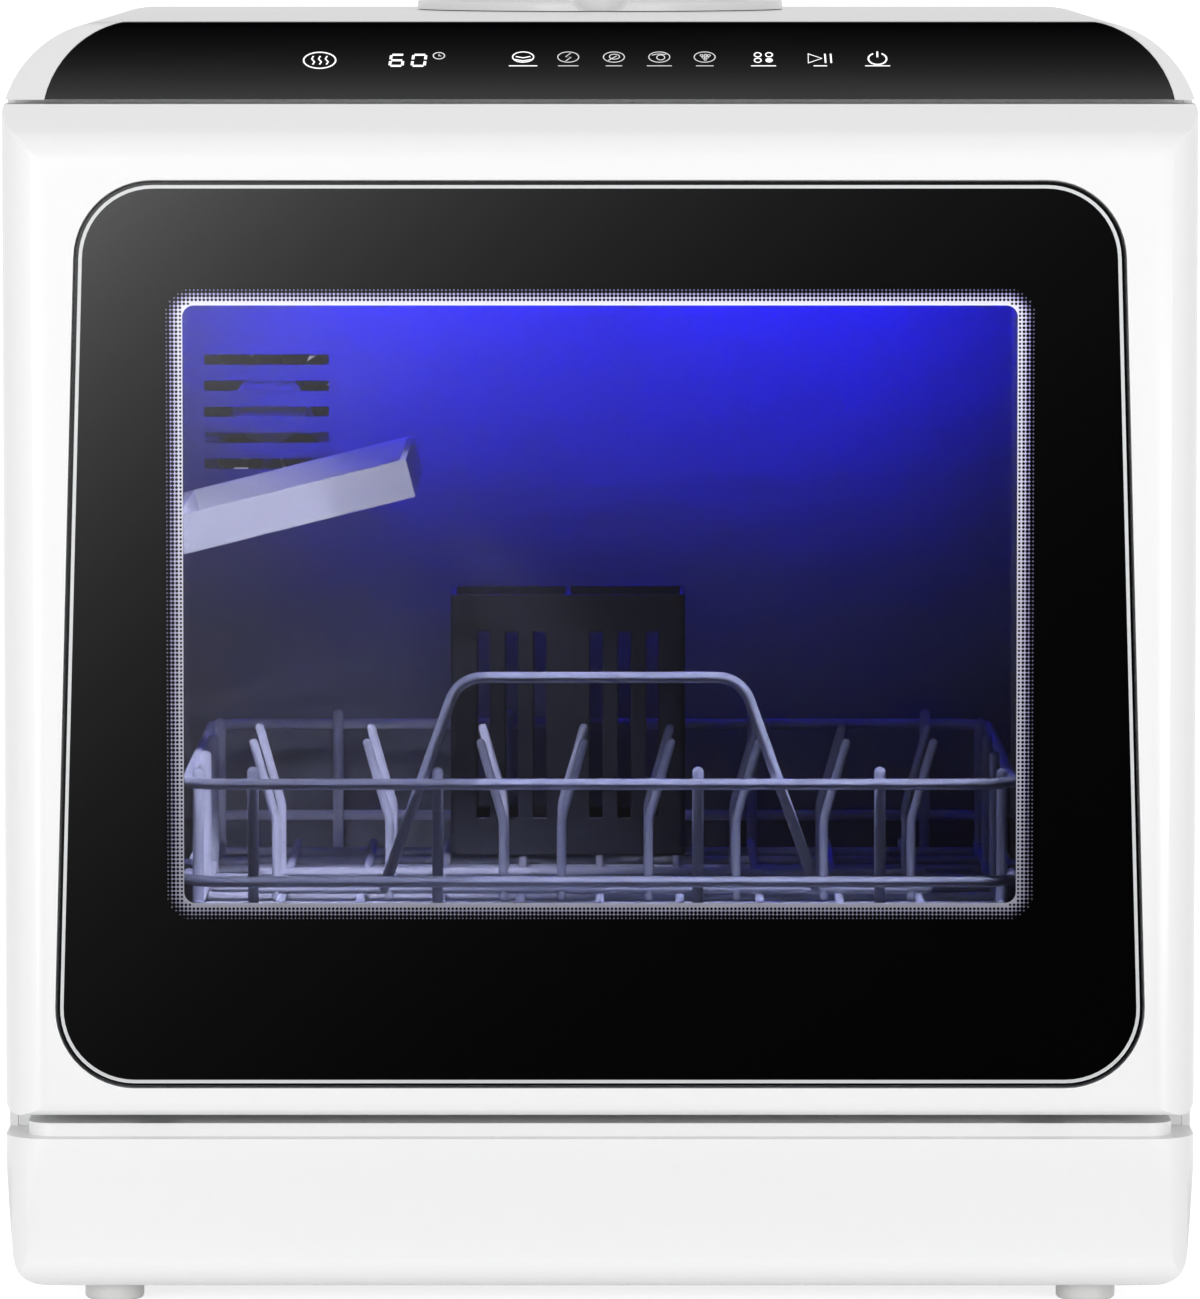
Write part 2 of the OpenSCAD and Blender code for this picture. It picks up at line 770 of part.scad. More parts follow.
module filter_cup() color("steelblue") {
    r = sump_r - 1;
    rows = 3;
    around = 16;
    translate([filter_x, filter_y, tub_z]) {
        difference() {
            union() {
                translate([0, 0, 0.2]) cylinder(h = 2, r = sump_r + 4);
                translate([0, 0, -sump_h + 4]) cylinder(h = sump_h - 3, r = r);
            }
            translate([0, 0, -sump_h + 6]) cylinder(h = sump_h, r = r - 1.6);
            for (k = [0:rows - 1], i = [0:around - 1])
                rotate([0, 0, (i + k / 2) * 360 / around])
                    translate([r - 4, 0, -sump_h + 12 + k * mesh_d * 1.5]) rotate([0, 90, 0])
                        cylinder(h = 6, d = mesh_d);
        }
        // Grip across the top
        translate([-r, -2.5, 0.3]) cube([2 * r, 5, 2]);
        translate([-17, -2, 1]) cube([34, 4, 8.5]);
    }
}

module wash_pump() color("slategray") {
    x0 = pump_x1 - volute_w;
    rod_x(x0, pump_x1, filter_y, pump_z, 22);
    rod_x(x0 - 62, x0, filter_y, pump_z, 20);
    rod_x(x0 - 68, x0 - 62, filter_y, pump_z, 9);
    rod_y(feed_x, filter_y, filter_y + 26, pump_z, 8);
    for (x = [x0 - 50, x0 - 12])
        box(x, filter_y - 14, base_floor, x + 5, filter_y + 14, pump_z - 12);
}

module drain_pump() color("slategray") {
    x0 = filter_x + sump_r + 7;
    rod_x(x0, x0 + 14, filter_y, pump_z, 19);
    rod_x(x0 + 14, x0 + 44, filter_y, pump_z, 15);
    rod_y(drain_x, filter_y, filter_y + 24, port_z, 8);
    box(x0 + 24, filter_y - 10, base_floor, x0 + 29, filter_y + 10, pump_z - 8);
}

module drain_hose() color("darkgray")
    rod_y(drain_x, filter_y + 24, recess_y - wall_t, port_z, 7);

module drain_spigot() color("gray")
    difference() {
        union() {
            rod_y(drain_x, recess_y, recess_y + spigot_l, port_z, drain_d / 2);
            rod_y(drain_x, recess_y - wall_t, recess_y, port_z, 7);
        }
        rod_y(drain_x, recess_y - wall_t - 1, recess_y + spigot_l + 1, port_z, 5);
    }

module inlet_valve() color("gray") {
    difference() {
        union() {
            rod_y(inlet_x, recess_y, recess_y + spigot_l, port_z, inlet_d / 2);
            rod_y(inlet_x, recess_y - wall_t - 1, recess_y + 1, port_z, 9);
            box(inlet_x - 15, recess_y - wall_t - 28, port_z - 13, inlet_x + 15,
                recess_y - wall_t, port_z + 13);
            rod_z(inlet_x, recess_y - wall_t - 14, port_z, tank_z, 6);
        }
        rod_y(inlet_x, recess_y - 8, recess_y + spigot_l + 1, port_z, 8);
    }
}

module fill_pump() color("slategray") {
    y = tank_back - 30;
    rod_z(fill_x, y, tank_z - 34, tank_z, 16);
    rod_y(fill_x, fill_y, y, tank_z - 22, 5);
    translate([fill_x, fill_y, tank_z - 22]) sphere(r = 6);
    rod_z(fill_x, fill_y, tank_z - 22, tub_z - tub_t, 5);
}

// One run of pipe through a list of points, with a moulded elbow at each turn
module pipe_run(pts, r) {
    for (i = [0:len(pts) - 2]) {
        step = pts[i + 1] - pts[i];
        translate(pts[i])
            rotate([0, acos(step[2] / norm(step)), atan2(step[1], step[0])])
                cylinder(h = norm(step), r = r);
    }
    for (i = [1:len(pts) - 2])
        translate(pts[i]) sphere(r = r + 1);
}

module feed_pipe() color("dimgray") {
    pipe_run([[feed_x, filter_y + 26, pump_z], [feed_x, arm_y, pump_z], [0, arm_y, pump_z],
        [0, arm_y, tub_z - tub_t]], feed_r);
    pipe_run([[0, arm_y, pump_z], [0, feed_y, pump_z], [0, feed_y, feed_top], [0, arm_y, feed_top],
        [0, arm_y, tub_top + tub_t]], feed_r);
}

module heater() color("silver")
    difference() {
        union() {
            rod_y(0, arm_y + 40, tub_back - 20, pump_z, 15);
            for (y = [arm_y + 52, tub_back - 32])
                box(-4, y - 4, base_floor, 4, y + 4, pump_z);
        }
        rod_y(0, arm_y + 39, tub_back - 19, pump_z, feed_r);
    }

module lower_post() color("gray") {
    rod_z(0, arm_y, tub_z - tub_t, arm_z + arm_t + 0.4, post_r);
    rod_z(0, arm_y, tub_z, arm_z - 0.4, post_r + 6);
    rod_z(0, arm_y, arm_z + arm_t + 0.4, arm_z + arm_t + 0.4 + cap_h, post_r + 4);
}

module upper_post() color("gray") {
    rod_z(0, arm_y, top_arm_z - 0.4, tub_top + tub_t, post_r);
    rod_z(0, arm_y, top_arm_z + arm_t + 0.4, tub_top, post_r + 6);
    rod_z(0, arm_y, top_arm_z - 0.4 - cap_h, top_arm_z - 0.4, post_r + 4);
}

// A two-bladed arm with a row of jets on its working face
module spray_arm(reach, jets_up) {
    tip = arm_w * 0.36;
    jets = 5;
    difference() {
        union() {
            cylinder(h = arm_t, r = post_r + 6);
            for (a = [0, 180]) rotate([0, 0, a])
                linear_extrude(arm_t)
                    rounded_outline([[0, -arm_w / 2], [reach - tip, -tip], [reach, -tip],
                        [reach, tip], [reach - tip, tip], [0, arm_w / 2]],
                        [0, 0, tip - 0.1, tip - 0.1, 0, 0]);
        }
        translate([0, 0, -1]) cylinder(h = arm_t + 2, r = post_r + run_gap);
        for (a = [0, 180], i = [0:jets - 1]) rotate([0, 0, a])
            translate([reach * (0.34 + 0.14 * i), (i % 2 - 0.5) * 7, jets_up ? arm_t - 3 : -1])
                cylinder(h = 4, d = 3);
    }
}

module lower_spray_arm() color("silver")
    translate([0, arm_y, arm_z]) spray_arm(arm_r, true);

module upper_spray_arm() color("silver")
    translate([0, arm_y, top_arm_z]) spray_arm(top_arm_r, false);

// ---- Tank --------------------------------------------------------------

module tank_form(inset = 0) {
    x0 = tank_left + inset;
    x1 = tank_right - inset;
    box(x0, tank_front + inset, tank_z + inset, x1, tank_back - inset, tank_top - inset);
    box(x0, tank_nose + inset, tank_top - 34 + inset, x1, tank_back - inset, tank_top - inset);
}

module water_tank() color("aliceblue")
    difference() {
        union() {
            tank_form();
            rod_z(0, lid_y, tank_top - 1, neck_top, neck_r + 3);
        }
        tank_form(tank_t);
        rod_z(0, lid_y, tank_top - 5, neck_top + 1, neck_r);
        rod_z(0, lid_y, neck_top - 1.5, neck_top + 1, neck_r + 1.5);
    }

module tank_strainer() color("lightgray") {
    depth = 28;
    r = neck_r - 4;
    translate([0, lid_y, neck_top]) difference() {
        union() {
            translate([0, 0, -1.5]) cylinder(h = 1.5, r = neck_r + 1.3);
            translate([0, 0, -depth]) cylinder(h = depth - 1, r = r);
        }
        translate([0, 0, -depth + 1.5]) cylinder(h = depth, r = r - 1.5);
        for (ring = [1:4], i = [0:ring * 6 - 1])
            rotate([0, 0, i * 360 / (ring * 6)]) translate([ring * r / 5, 0, -depth - 1])
                cylinder(h = 4, d = mesh_d);
    }
}

module tank_lid() color("white")
    difference() {
        union() {
            translate([0, lid_y, lid_z]) button(lid_d / 2, lid_h - seat_gap, 2);
            box(-20, lid_y + lid_d / 2 - 8, lid_z + 0.4, 20, lid_rod_y, lid_rod_z + 1.4);
            rod_x(-lug_x + lug_w / 2 + 0.4, lug_x - lug_w / 2 - 0.4, lid_rod_y, lid_rod_z, lid_h / 2 - 0.1);
        }
        rod_x(-lug_x, lug_x, lid_rod_y, lid_rod_z, lid_rod_d / 2);
        // Finger dip at the front edge
        translate([0, lid_y - lid_d / 2, lid_z + 12]) sphere(r = 14);
    }

module lid_seal() color([0.3, 0.3, 0.32])
    translate([0, lid_y, neck_top + seat_gap])
        difference() {
            cylinder(h = lid_z - neck_top - seat_gap, r = neck_r + 2.4);
            translate([0, 0, -1]) cylinder(h = 6, r = neck_r - 4);
        }

module lid_rod() color("silver")
    rod_x(-lug_x - lug_w / 2, lug_x + lug_w / 2, lid_rod_y, lid_rod_z, lid_rod_d / 2);

// ---- Electrics ---------------------------------------------------------

module power_board() color("darkgreen") {
    translate([power_x, power_y, power_z]) {
        box(-42, -42, 0, 42, 42, 1.6);
        box(-34, -30, 1.5, -4, 4, 24);
        for (i = [0:2]) translate([18, -28 + i * 17, 1.5]) cylinder(h = 22, d = 13);
        box(-34, 14, 1.5, 26, 30, 12);
    }
}

module flood_float() color("orangered")
    translate([float_x, float_y, base_floor + seat_gap])
        rotate_extrude()
            rounded_outline([[5 + run_gap, 0], [22, 0], [22, 18], [5 + run_gap, 18]], [0, 3, 3, 0]);

module cable_gland() color([0.2, 0.2, 0.22])
    difference() {
        union() {
            rod_y(-150, rear_y - wall_t - 9, rear_y - 0.2, port_z, 8);
            rod_y(-150, rear_y - wall_t - 3, rear_y - wall_t, port_z, 12);
        }
        rod_y(-150, rear_y - wall_t - 10, rear_y + 1, port_z, 3.6);
    }

// ---- Drying fan --------------------------------------------------------

module fan_housing() color("gray")
    difference() {
        rod_y(fan_x, tub_back + tub_t, rear_y - wall_t, fan_z, duct_r);
        rod_y(fan_x, tub_back + tub_t - 1, fan_y - 12, fan_z, duct_r - 3);
        rod_y(fan_x, fan_y - 8, rear_y, fan_z, duct_r - 3);
        rod_y(fan_x, fan_y - 13, fan_y - 7, fan_z, 4);
        for (i = [0:5])
            translate([fan_x, fan_y - 10, fan_z]) rotate([90, i * 60, 0])
                translate([duct_r * 0.62, 0, -4]) cylinder(h = 8, r = 9);
    }

module fan_motor() color("silver") {
    rod_y(fan_x, fan_y - 36, fan_y - 12, fan_z, 14);
    rod_y(fan_x, fan_y - 12, fan_y + 20, fan_z, 2.5);
}

module fan_wheel() color("black")
    difference() {
        union() {
            rod_y(fan_x, fan_y - 3, fan_y + 17, fan_z, 10);
            for (i = [0:blade_count - 1])
                translate([fan_x, fan_y + 7, fan_z]) rotate([0, i * 360 / blade_count, 0])
                    translate([9, 0, 0]) rotate([34, 0, 0])
                        translate([0, -9, -0.8]) cube([fan_d / 2 - 9.5, 18, 1.6]);
        }
        rod_y(fan_x, fan_y - 10, fan_y + 30, fan_z, 2.5 + run_gap);
    }

// ---- Door --------------------------------------------------------------

module hinge_brackets() color("silver")
    pair_x() difference() {
        union() {
            rod_x(hinge_x - ear_w / 2, hinge_x + ear_w / 2, hinge_y, hinge_z, hinge_r);
            box(hinge_x - ear_w / 2, hinge_y, hinge_z - 5, hinge_x + ear_w / 2, tub_front + 3, hinge_z + 5);
            box(hinge_x - 17, tub_front, base_top + 2, hinge_x + 17, tub_front + 3, tub_z - flange_w + 1.8);
        }
        rod_x(hinge_x - ear_w, hinge_x + ear_w, hinge_y, hinge_z, hinge_pin_d / 2 + run_gap);
    }

pin_half = notch_w / 2 + cheek_w;

module hinge_pins() color("silver")
    pair_x() rod_x(hinge_x - pin_half, hinge_x + pin_half, hinge_y, hinge_z, hinge_pin_d / 2);

// Side view of the door
module door_side_2d(inset = 0) {
    top_y = front_y + (door_top - slope_z) / tan(slope_angle);
    lean = inset / sin(slope_angle);
    bend_z = slope_z - (lean - inset) * tan(slope_angle);
    rounded_outline([[front_y + inset, door_bottom + inset], [door_back, door_bottom + inset],
        [door_back, door_top - inset], [top_y + lean - inset / tan(slope_angle), door_top - inset],
        [front_y + inset, bend_z]],
        [door_edge_r - inset * 0.9, door_heel_r - inset, 0.5, 1, slope_r - inset]);
}

module door_form(inset = 0) {
    intersection() {
        along_x(-half_w, half_w) door_side_2d(inset);
        along_y(front_y, door_back) front_2d(inset, door_bottom + inset, door_edge_r - inset * 0.9);
        translate([0, 0, door_bottom]) linear_extrude(body_h) plan_2d(inset);
    }
}

module glass_2d(inset = 0) {
    top = glass_top_w / 2 - inset;
    low = glass_bottom_w / 2 - inset;
    rounded_outline([[-low, glass_z + inset], [low, glass_z + inset], [top, glass_z + glass_h - inset],
        [-top, glass_z + glass_h - inset]], [for (i = [0:3]) glass_r - inset]);
}

module window_2d(grow = 0) {
    rounded_box_2d(-window_w / 2 - grow, window_z - grow, window_w / 2 + grow,
        window_z + window_h + grow, window_r + grow);
}

// Room for the hinge ear, from the pin round to the door's lower edge
module hinge_notch(margin = 0) {
    half = notch_w / 2 - margin;
    pair_x() box(hinge_x - half, hinge_y - hinge_r - 0.5, door_bottom - 1,
        hinge_x + half, door_back + 1, hinge_z + hinge_r + 0.5);
}

module door_shell() color("white")
    difference() {
        union() {
            difference() {
                door_form();
                difference() {
                    door_form(wall_t);
                    // Pan that backs the glass
                    along_y(front_y, skin_y + ledge_t) glass_2d(-wall_t);
                    // Cheeks that hold the hinge pins
                    pair_x() box(hinge_x - pin_half, front_y, door_bottom, hinge_x + pin_half,
                        door_back - liner_t, hinge_z + 12);
                }
                // The liner closes the back
                intersection() {
                    door_form(wall_t);
                    box(-half_w, door_back - liner_t, door_bottom, half_w, door_back + 1, body_h);
                }
            }
        }
        along_y(front_y - 1, skin_y) glass_2d();
        along_y(front_y - 1, skin_y + ledge_t + 1) window_2d(sight);
        hinge_notch();
        pair_x() rod_x(hinge_x - pin_half, hinge_x + pin_half, hinge_y, hinge_z, hinge_pin_d / 2);
    }

module door_glass() color([0.1, 0.1, 0.12, 0.6])
    along_y(front_y + glass_in, glass_back) glass_2d(0.4);

module glass_mask() color([0.02, 0.02, 0.02])
    difference() {
        along_y(glass_back, skin_y) glass_2d(0.4);
        along_y(glass_back - 1, skin_y + 1) window_2d();
    }

module trim_ring() color("silver")
    difference() {
        along_y(front_y, front_y + glass_in) glass_2d(ring_in);
        along_y(front_y - 1, front_y + glass_in + 1) glass_2d(ring_in + ring_w);
    }

cup_w = 60;
cup_h = 20;
cup_depth = 18;
cup_x = -68;
cup_z = tub_z + 4;
cover_w = cup_w + 2;

module door_liner() color("silver")
    difference() {
        intersection() {
            door_form(wall_t);
            box(-half_w, door_back - liner_t, door_bottom, half_w, door_back, body_h);
        }
        along_y(door_back - 5, door_back + 1) window_2d(sight);
        hinge_notch(-1);
        box(cup_x - 1.5, door_back - 5, cup_z - 1.5, cup_x + cup_w + 1.5, door_back + 1,
            cup_z + cup_h + 1.5);
    }

module window_gasket() color([0.2, 0.2, 0.22])
    difference() {
        along_y(door_back - liner_t - 2, door_back - liner_t) window_2d(sight + gasket_w);
        along_y(door_back - liner_t - 3, door_back) window_2d(sight);
    }

module inner_window() color([0.8, 0.9, 1, 0.35])
    along_y(door_back - liner_t - 2 - pane_t, door_back - liner_t - 2) window_2d(sight + gasket_w - 1);

// Detergent cup let into the liner, with two lips that guide its cover
module detergent_cup() color("gray")
    difference() {
        union() {
            box(cup_x - 1.5, door_back - cup_depth - 1.5, cup_z - 1.5, cup_x + cup_w + 1.5,
                door_back, cup_z + cup_h + 1.5);
            box(cup_x - 5, door_back, cup_z - 3.5, cup_x + 2 * cup_w + 9, door_back + 1.4,
                cup_z + cup_h + 3.5);
            for (z = [cup_z - 3.5, cup_z + cup_h + 1.9])
                box(cup_x - 5, door_back + 1, z, cup_x + 2 * cup_w + 9, door_back + 3.8, z + 1.6);
        }
        box(cup_x, door_back - cup_depth, cup_z, cup_x + cup_w, door_back + 3, cup_z + cup_h);
    }

module detergent_cover() color("lightskyblue") {
    y0 = door_back + 1.4 + 0.15;
    box(cup_x - 1, y0, cup_z - 1.6, cup_x + cover_w - 1, y0 + 1.8, cup_z + cup_h + 1.6);
    box(cup_x + cover_w - 10, y0 + 1.7, cup_z + 3, cup_x + cover_w - 6, y0 + 4.4, cup_z + cup_h - 3);
}

module door_hook() color("silver")
    difference() {
        union() {
            box(-8, door_back, latch_z, 8, door_back + 17, latch_z + 3);
            box(-12, door_back, latch_z - 6, 12, door_back + 1.5, latch_z + 9);
        }
        rod_z(0, door_back + 10, latch_z - 1, latch_z + 4, 4);
    }

// ---- Rack --------------------------------------------------------------

rack_half = rack_w / 2 - rail_r;
front_posts = [-124, -58, 35, 100];

// Grid of welded wires
module rack_floor() color("slategray") {
    lanes = 10;
    cross = 8;
    y0 = rack_front + rail_d;
    y1 = rack_back - rail_d;
    x_end = rack_half - rail_d;
    for (i = [0:lanes])
        rod_y(-x_end + i * 2 * x_end / lanes, y0, y1, rack_z, grid_r);
    for (i = [0:cross - 1])
        rod_x(-x_end - 2, x_end + 2, y0 + 5 + i * (y1 - y0 - 10) / (cross - 1), cross_z, grid_r);
}

module rail_corner(x, y, z, turn) {
    translate([x, y, z]) rotate([0, 0, turn]) rotate_extrude(angle = 90)
        translate([rack_r, 0]) circle(r = rail_r);
}

// One end of the rack: two rails with their corner bends, and uprights
module rack_end(y, side, posts) {
    xb = rack_half - rack_r;
    for (z = [rack_z + low_rail, rack_z + high_rail]) {
        rod_x(-xb, xb, y, z, rail_r);
        rail_corner(xb, y + side * rack_r, z, side > 0 ? 270 : 0);
        rail_corner(-xb, y + side * rack_r, z, side > 0 ? 180 : 90);
    }
    for (x = posts)
        rod_z(x, y + side * (rail_d - 0.3), cross_z, rack_z + high_rail + 4, rail_r);
}

module rack_ends() color("slategray") {
    rack_end(rack_front, 1, front_posts);
    rack_end(rack_back, -1, [for (x = front_posts) -x]);
}

module rack_sides() color("slategray")
    pair_x() {
        y0 = rack_front + rack_r;
        y1 = rack_back - rack_r;
        for (z = [rack_z + low_rail, rack_z + high_rail])
            rod_y(rack_half, y0, y1, z, rail_r);
        for (i = [0:3])
            rod_z(rack_half - rail_d + 0.3, y0 + 6 + i * (y1 - y0 - 12) / 3, cross_z,
                rack_z + high_rail + 2, rail_r);
    }

// Glides clipped on the lower side rails, which run on the chamber's runners
module rack_glides() color("dimgray")
    pair_x() for (y = [rack_front + rack_r + 24, rack_back - rack_r - 24])
        difference() {
            along_y(y - 9, y + 9)
                rounded_box_2d(rack_half - rail_r + 0.4, ledge_z + ledge_h + seat_gap,
                    tub_w / 2 - 2.5, rack_z + low_rail + rail_r + 1.5, 2);
            rod_y(rack_half, y - 10, y + 10, rack_z + low_rail, rail_r);
        }

// Handle hoop welded behind the front rails
module rack_hoop() color("slategray") {
    r = 12;
    y = rack_front + rail_d - 0.3;
    z_low = rack_z + low_rail - rail_r;
    z_top = rack_z + hoop_h;
    leg_z = z_top - r + r * sin(hoop_lean);
    leg_x = hoop_half + r * cos(hoop_lean);
    bead = rail_r + 0.12;
    rod_x(-hoop_half + 0.3, hoop_half - 0.3, y, z_top, rail_r);
    pair_x() {
        translate([hoop_half, y, z_top]) rotate([0, 0, 90]) sphere(r = bead);
        translate([hoop_half, y, z_top - r]) rotate([90, 0, 0]) rotate([0, 0, hoop_lean])
            rotate_extrude(angle = 90 - hoop_lean) translate([r, 0]) circle(r = rail_r);
        translate([leg_x, y, leg_z]) {
            rotate([0, 0, 90]) sphere(r = bead);
            rotate([0, 180 - hoop_lean, 0]) translate([0, 0, 0.3])
                cylinder(h = (leg_z - z_low) / cos(hoop_lean), r = rail_r);
        }
    }
}

// A bent tine: upright below, leaning above, closed by a rounded tip
module tine(x, y, lean) {
    bend_h = tine_h * 0.5;
    translate([x, y, rack_z]) {
        cylinder(h = bend_h, r = grid_r);
        translate([0, 0, bend_h]) {
            sphere(r = grid_r + 0.15);
            rotate([0, lean, 0]) cylinder(h = (tine_h - bend_h) / cos(lean), r = grid_r);
        }
    }
}

module tine_row(y) {
    for (i = [0:4])
        tine(-14 + i * tine_pitch, y, tine_lean);
    for (x = [-117, -76, -35])
        tine(x, y, -tine_lean);
    rod_x(-124, -14 + 4 * tine_pitch + 6, y, rack_z + grid_d - 0.3, grid_r);
}

module front_tines() color("slategray")
    tine_row(rack_front + 42);

module rear_tines() color("slategray")
    tine_row(rack_front + 104);

// ---- Cutlery basket ----------------------------------------------------

basket_x = -12;
basket_y = rack_back - 48;
basket_z = rack_z + grid_r + seat_gap;
basket_r = basket_t + 0.8;

module cutlery_basket() color([0.22, 0.23, 0.28])
    translate([basket_x, basket_y, basket_z]) difference() {
        union() {
            difference() {
                linear_extrude(basket_h)
                    rounded_box_2d(-basket_w / 2, -basket_d / 2, basket_w / 2, basket_d / 2, basket_r);
                translate([0, 0, basket_t]) linear_extrude(basket_h)
                    rounded_box_2d(-basket_w / 2 + basket_t, -basket_d / 2 + basket_t,
                        basket_w / 2 - basket_t, basket_d / 2 - basket_t, basket_r - basket_t);
            }
            box(-basket_t / 2, -basket_d / 2 + 1, 1, basket_t / 2, basket_d / 2 - 1, basket_h);
        }
        // Long slots in the front and rear walls, and a slotted floor
        for (s = [-1, 1], i = [1:3])
            translate([s * i * (basket_w - 14) / 7, 0, 0])
                box(-2.4, -basket_d, 14, 2.4, basket_d, basket_h - 14);
        for (s = [-1, 1], i = [-1:1])
            box(s * basket_w / 4 - 14, i * 11 - 2.2, -1, s * basket_w / 4 + 14, i * 11 + 2.2, basket_t + 1);
    }

base_tray();
rubber_feet();
outer_casing();
front_frame();
rear_cover();
rear_screws();
touch_panel();
control_board();
latch_housing();
latch_pawl();
tub();
door_seal();
chamber_lamp();
shelf_bracket();
sump();
filter_cup();
wash_pump();
drain_pump();
drain_hose();
drain_spigot();
inlet_valve();
fill_pump();
feed_pipe();
heater();
lower_post();
upper_post();
lower_spray_arm();
upper_spray_arm();
water_tank();
tank_strainer();
tank_lid();
lid_seal();
lid_rod();
power_board();
flood_float();
cable_gland();
fan_housing();
fan_motor();
fan_wheel();
hinge_brackets();
hinge_pins();
door_shell();
door_glass();
glass_mask();
trim_ring();
door_liner();
window_gasket();
inner_window();
detergent_cup();
detergent_cover();
door_hook();
rack_floor();
rack_ends();
rack_sides();
rack_glides();
rack_hoop();
front_tines();
rear_tines();
cutlery_basket();
cup_shelf();
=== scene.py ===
import json
import math

import bmesh
import bpy
from mathutils import Matrix, Vector


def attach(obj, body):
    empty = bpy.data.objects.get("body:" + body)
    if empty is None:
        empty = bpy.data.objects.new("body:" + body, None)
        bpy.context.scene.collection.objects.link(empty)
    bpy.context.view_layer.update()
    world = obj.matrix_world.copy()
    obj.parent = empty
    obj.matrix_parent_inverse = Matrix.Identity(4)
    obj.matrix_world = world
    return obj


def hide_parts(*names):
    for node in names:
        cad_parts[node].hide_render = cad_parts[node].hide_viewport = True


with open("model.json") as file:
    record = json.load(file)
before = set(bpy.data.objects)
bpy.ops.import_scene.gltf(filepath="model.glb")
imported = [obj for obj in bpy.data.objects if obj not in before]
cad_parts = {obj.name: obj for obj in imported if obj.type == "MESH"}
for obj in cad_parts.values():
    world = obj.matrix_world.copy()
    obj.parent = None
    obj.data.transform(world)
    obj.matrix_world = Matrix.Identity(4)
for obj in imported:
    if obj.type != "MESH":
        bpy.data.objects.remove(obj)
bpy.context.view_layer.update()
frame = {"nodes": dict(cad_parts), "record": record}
nodes = frame["nodes"]
slotOf = {part["node"]: part["material_slot"] for part in frame["record"]["subparts"]}
bodyOf = {n: body for body, names in frame["record"]["behaviour"]["bodies"].items() for n in names}
scene = bpy.context.scene
mm = 0.001


# small helpers for objects

def boxOf(nodeName):  # low and high corners of a part in the frame, in millimetres
    points = [v.co / mm for v in nodes[nodeName].data.vertices]
    return [[round(pick(p[i] for p in points), 3) for i in range(3)] for pick in (min, max)]


def linked(name, mesh):
    piece = bpy.data.objects.new(name, mesh)
    scene.collection.objects.link(piece)
    return piece


def settled(piece):  # its modifiers applied, as one plain mesh
    graph = bpy.context.evaluated_depsgraph_get()
    mesh = bpy.data.meshes.new_from_object(piece.evaluated_get(graph))
    piece.modifiers.clear()
    piece.data = mesh
    mesh.name = piece.name
    return piece


def given(piece, body, standsFor=()):
    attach(piece, body)
    if standsFor:
        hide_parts(*standsFor)
    return piece


def bevelled(piece, width, segments, angle):  # width in millimetres, angle in degrees
    bevel = piece.modifiers.new("bevel", "BEVEL")
    bevel.width = width * mm
    bevel.segments = segments
    bevel.limit_method = "ANGLE"
    bevel.angle_limit = math.radians(angle)
    return settled(piece)


def meshOf(name, verts, faces, material):
    mesh = bpy.data.meshes.new(name)
    mesh.from_pydata([tuple(v) for v in verts], [], faces)
    mesh.materials.append(material)
    return mesh


def facingOut(mesh):  # every face of a closed mesh turned to look outward
    shape = bmesh.new()
    shape.from_mesh(mesh)
    bmesh.ops.recalc_face_normals(shape, faces=shape.faces)
    shape.to_mesh(mesh)
    shape.free()
    return mesh


# helpers for node trees

def addNode(tree, kind, settings=None, values=None, wires=None):
    node = tree.nodes.new(kind)
    for key, value in (settings or {}).items():
        setattr(node, key, value)
    for key, value in (values or {}).items():
        node.inputs[key].default_value = value
    for key, source in (wires or {}).items():
        tree.links.new(source, node.inputs[key])
    return node


def calc(tree, operation, first, second=None, third=None):
    node = tree.nodes.new("ShaderNodeMath")
    node.operation = operation
    for socket, value in zip(node.inputs, (first, second, third)):
        if isinstance(value, (int, float)):
            socket.default_value = value
        elif value is not None:
            tree.links.new(value, socket)
    return node.outputs[0]


def addRamp(tree, value, stops):  # stops as (position, colour)
    ramp = addNode(tree, "ShaderNodeValToRGB", wires={0: value})
    elements = ramp.color_ramp.elements
    while len(elements) < len(stops):
        elements.new(0.5)
    for element, (at, colour) in zip(elements, stops):
        element.position = at
        element.color = colour
    return ramp.outputs[0]


def newGroup(name, kind, inputs, outputs):
    group = bpy.data.node_groups.new(name, kind)
    for label, socketType, default in inputs:
        socket = group.interface.new_socket(name=label, in_out="INPUT", socket_type=socketType)
        if default is not None:
            socket.default_value = default
    for label, socketType in outputs:
        group.interface.new_socket(name=label, in_out="OUTPUT", socket_type=socketType)
    return group, addNode(group, "NodeGroupInput"), addNode(group, "NodeGroupOutput")


# effects shared by several materials

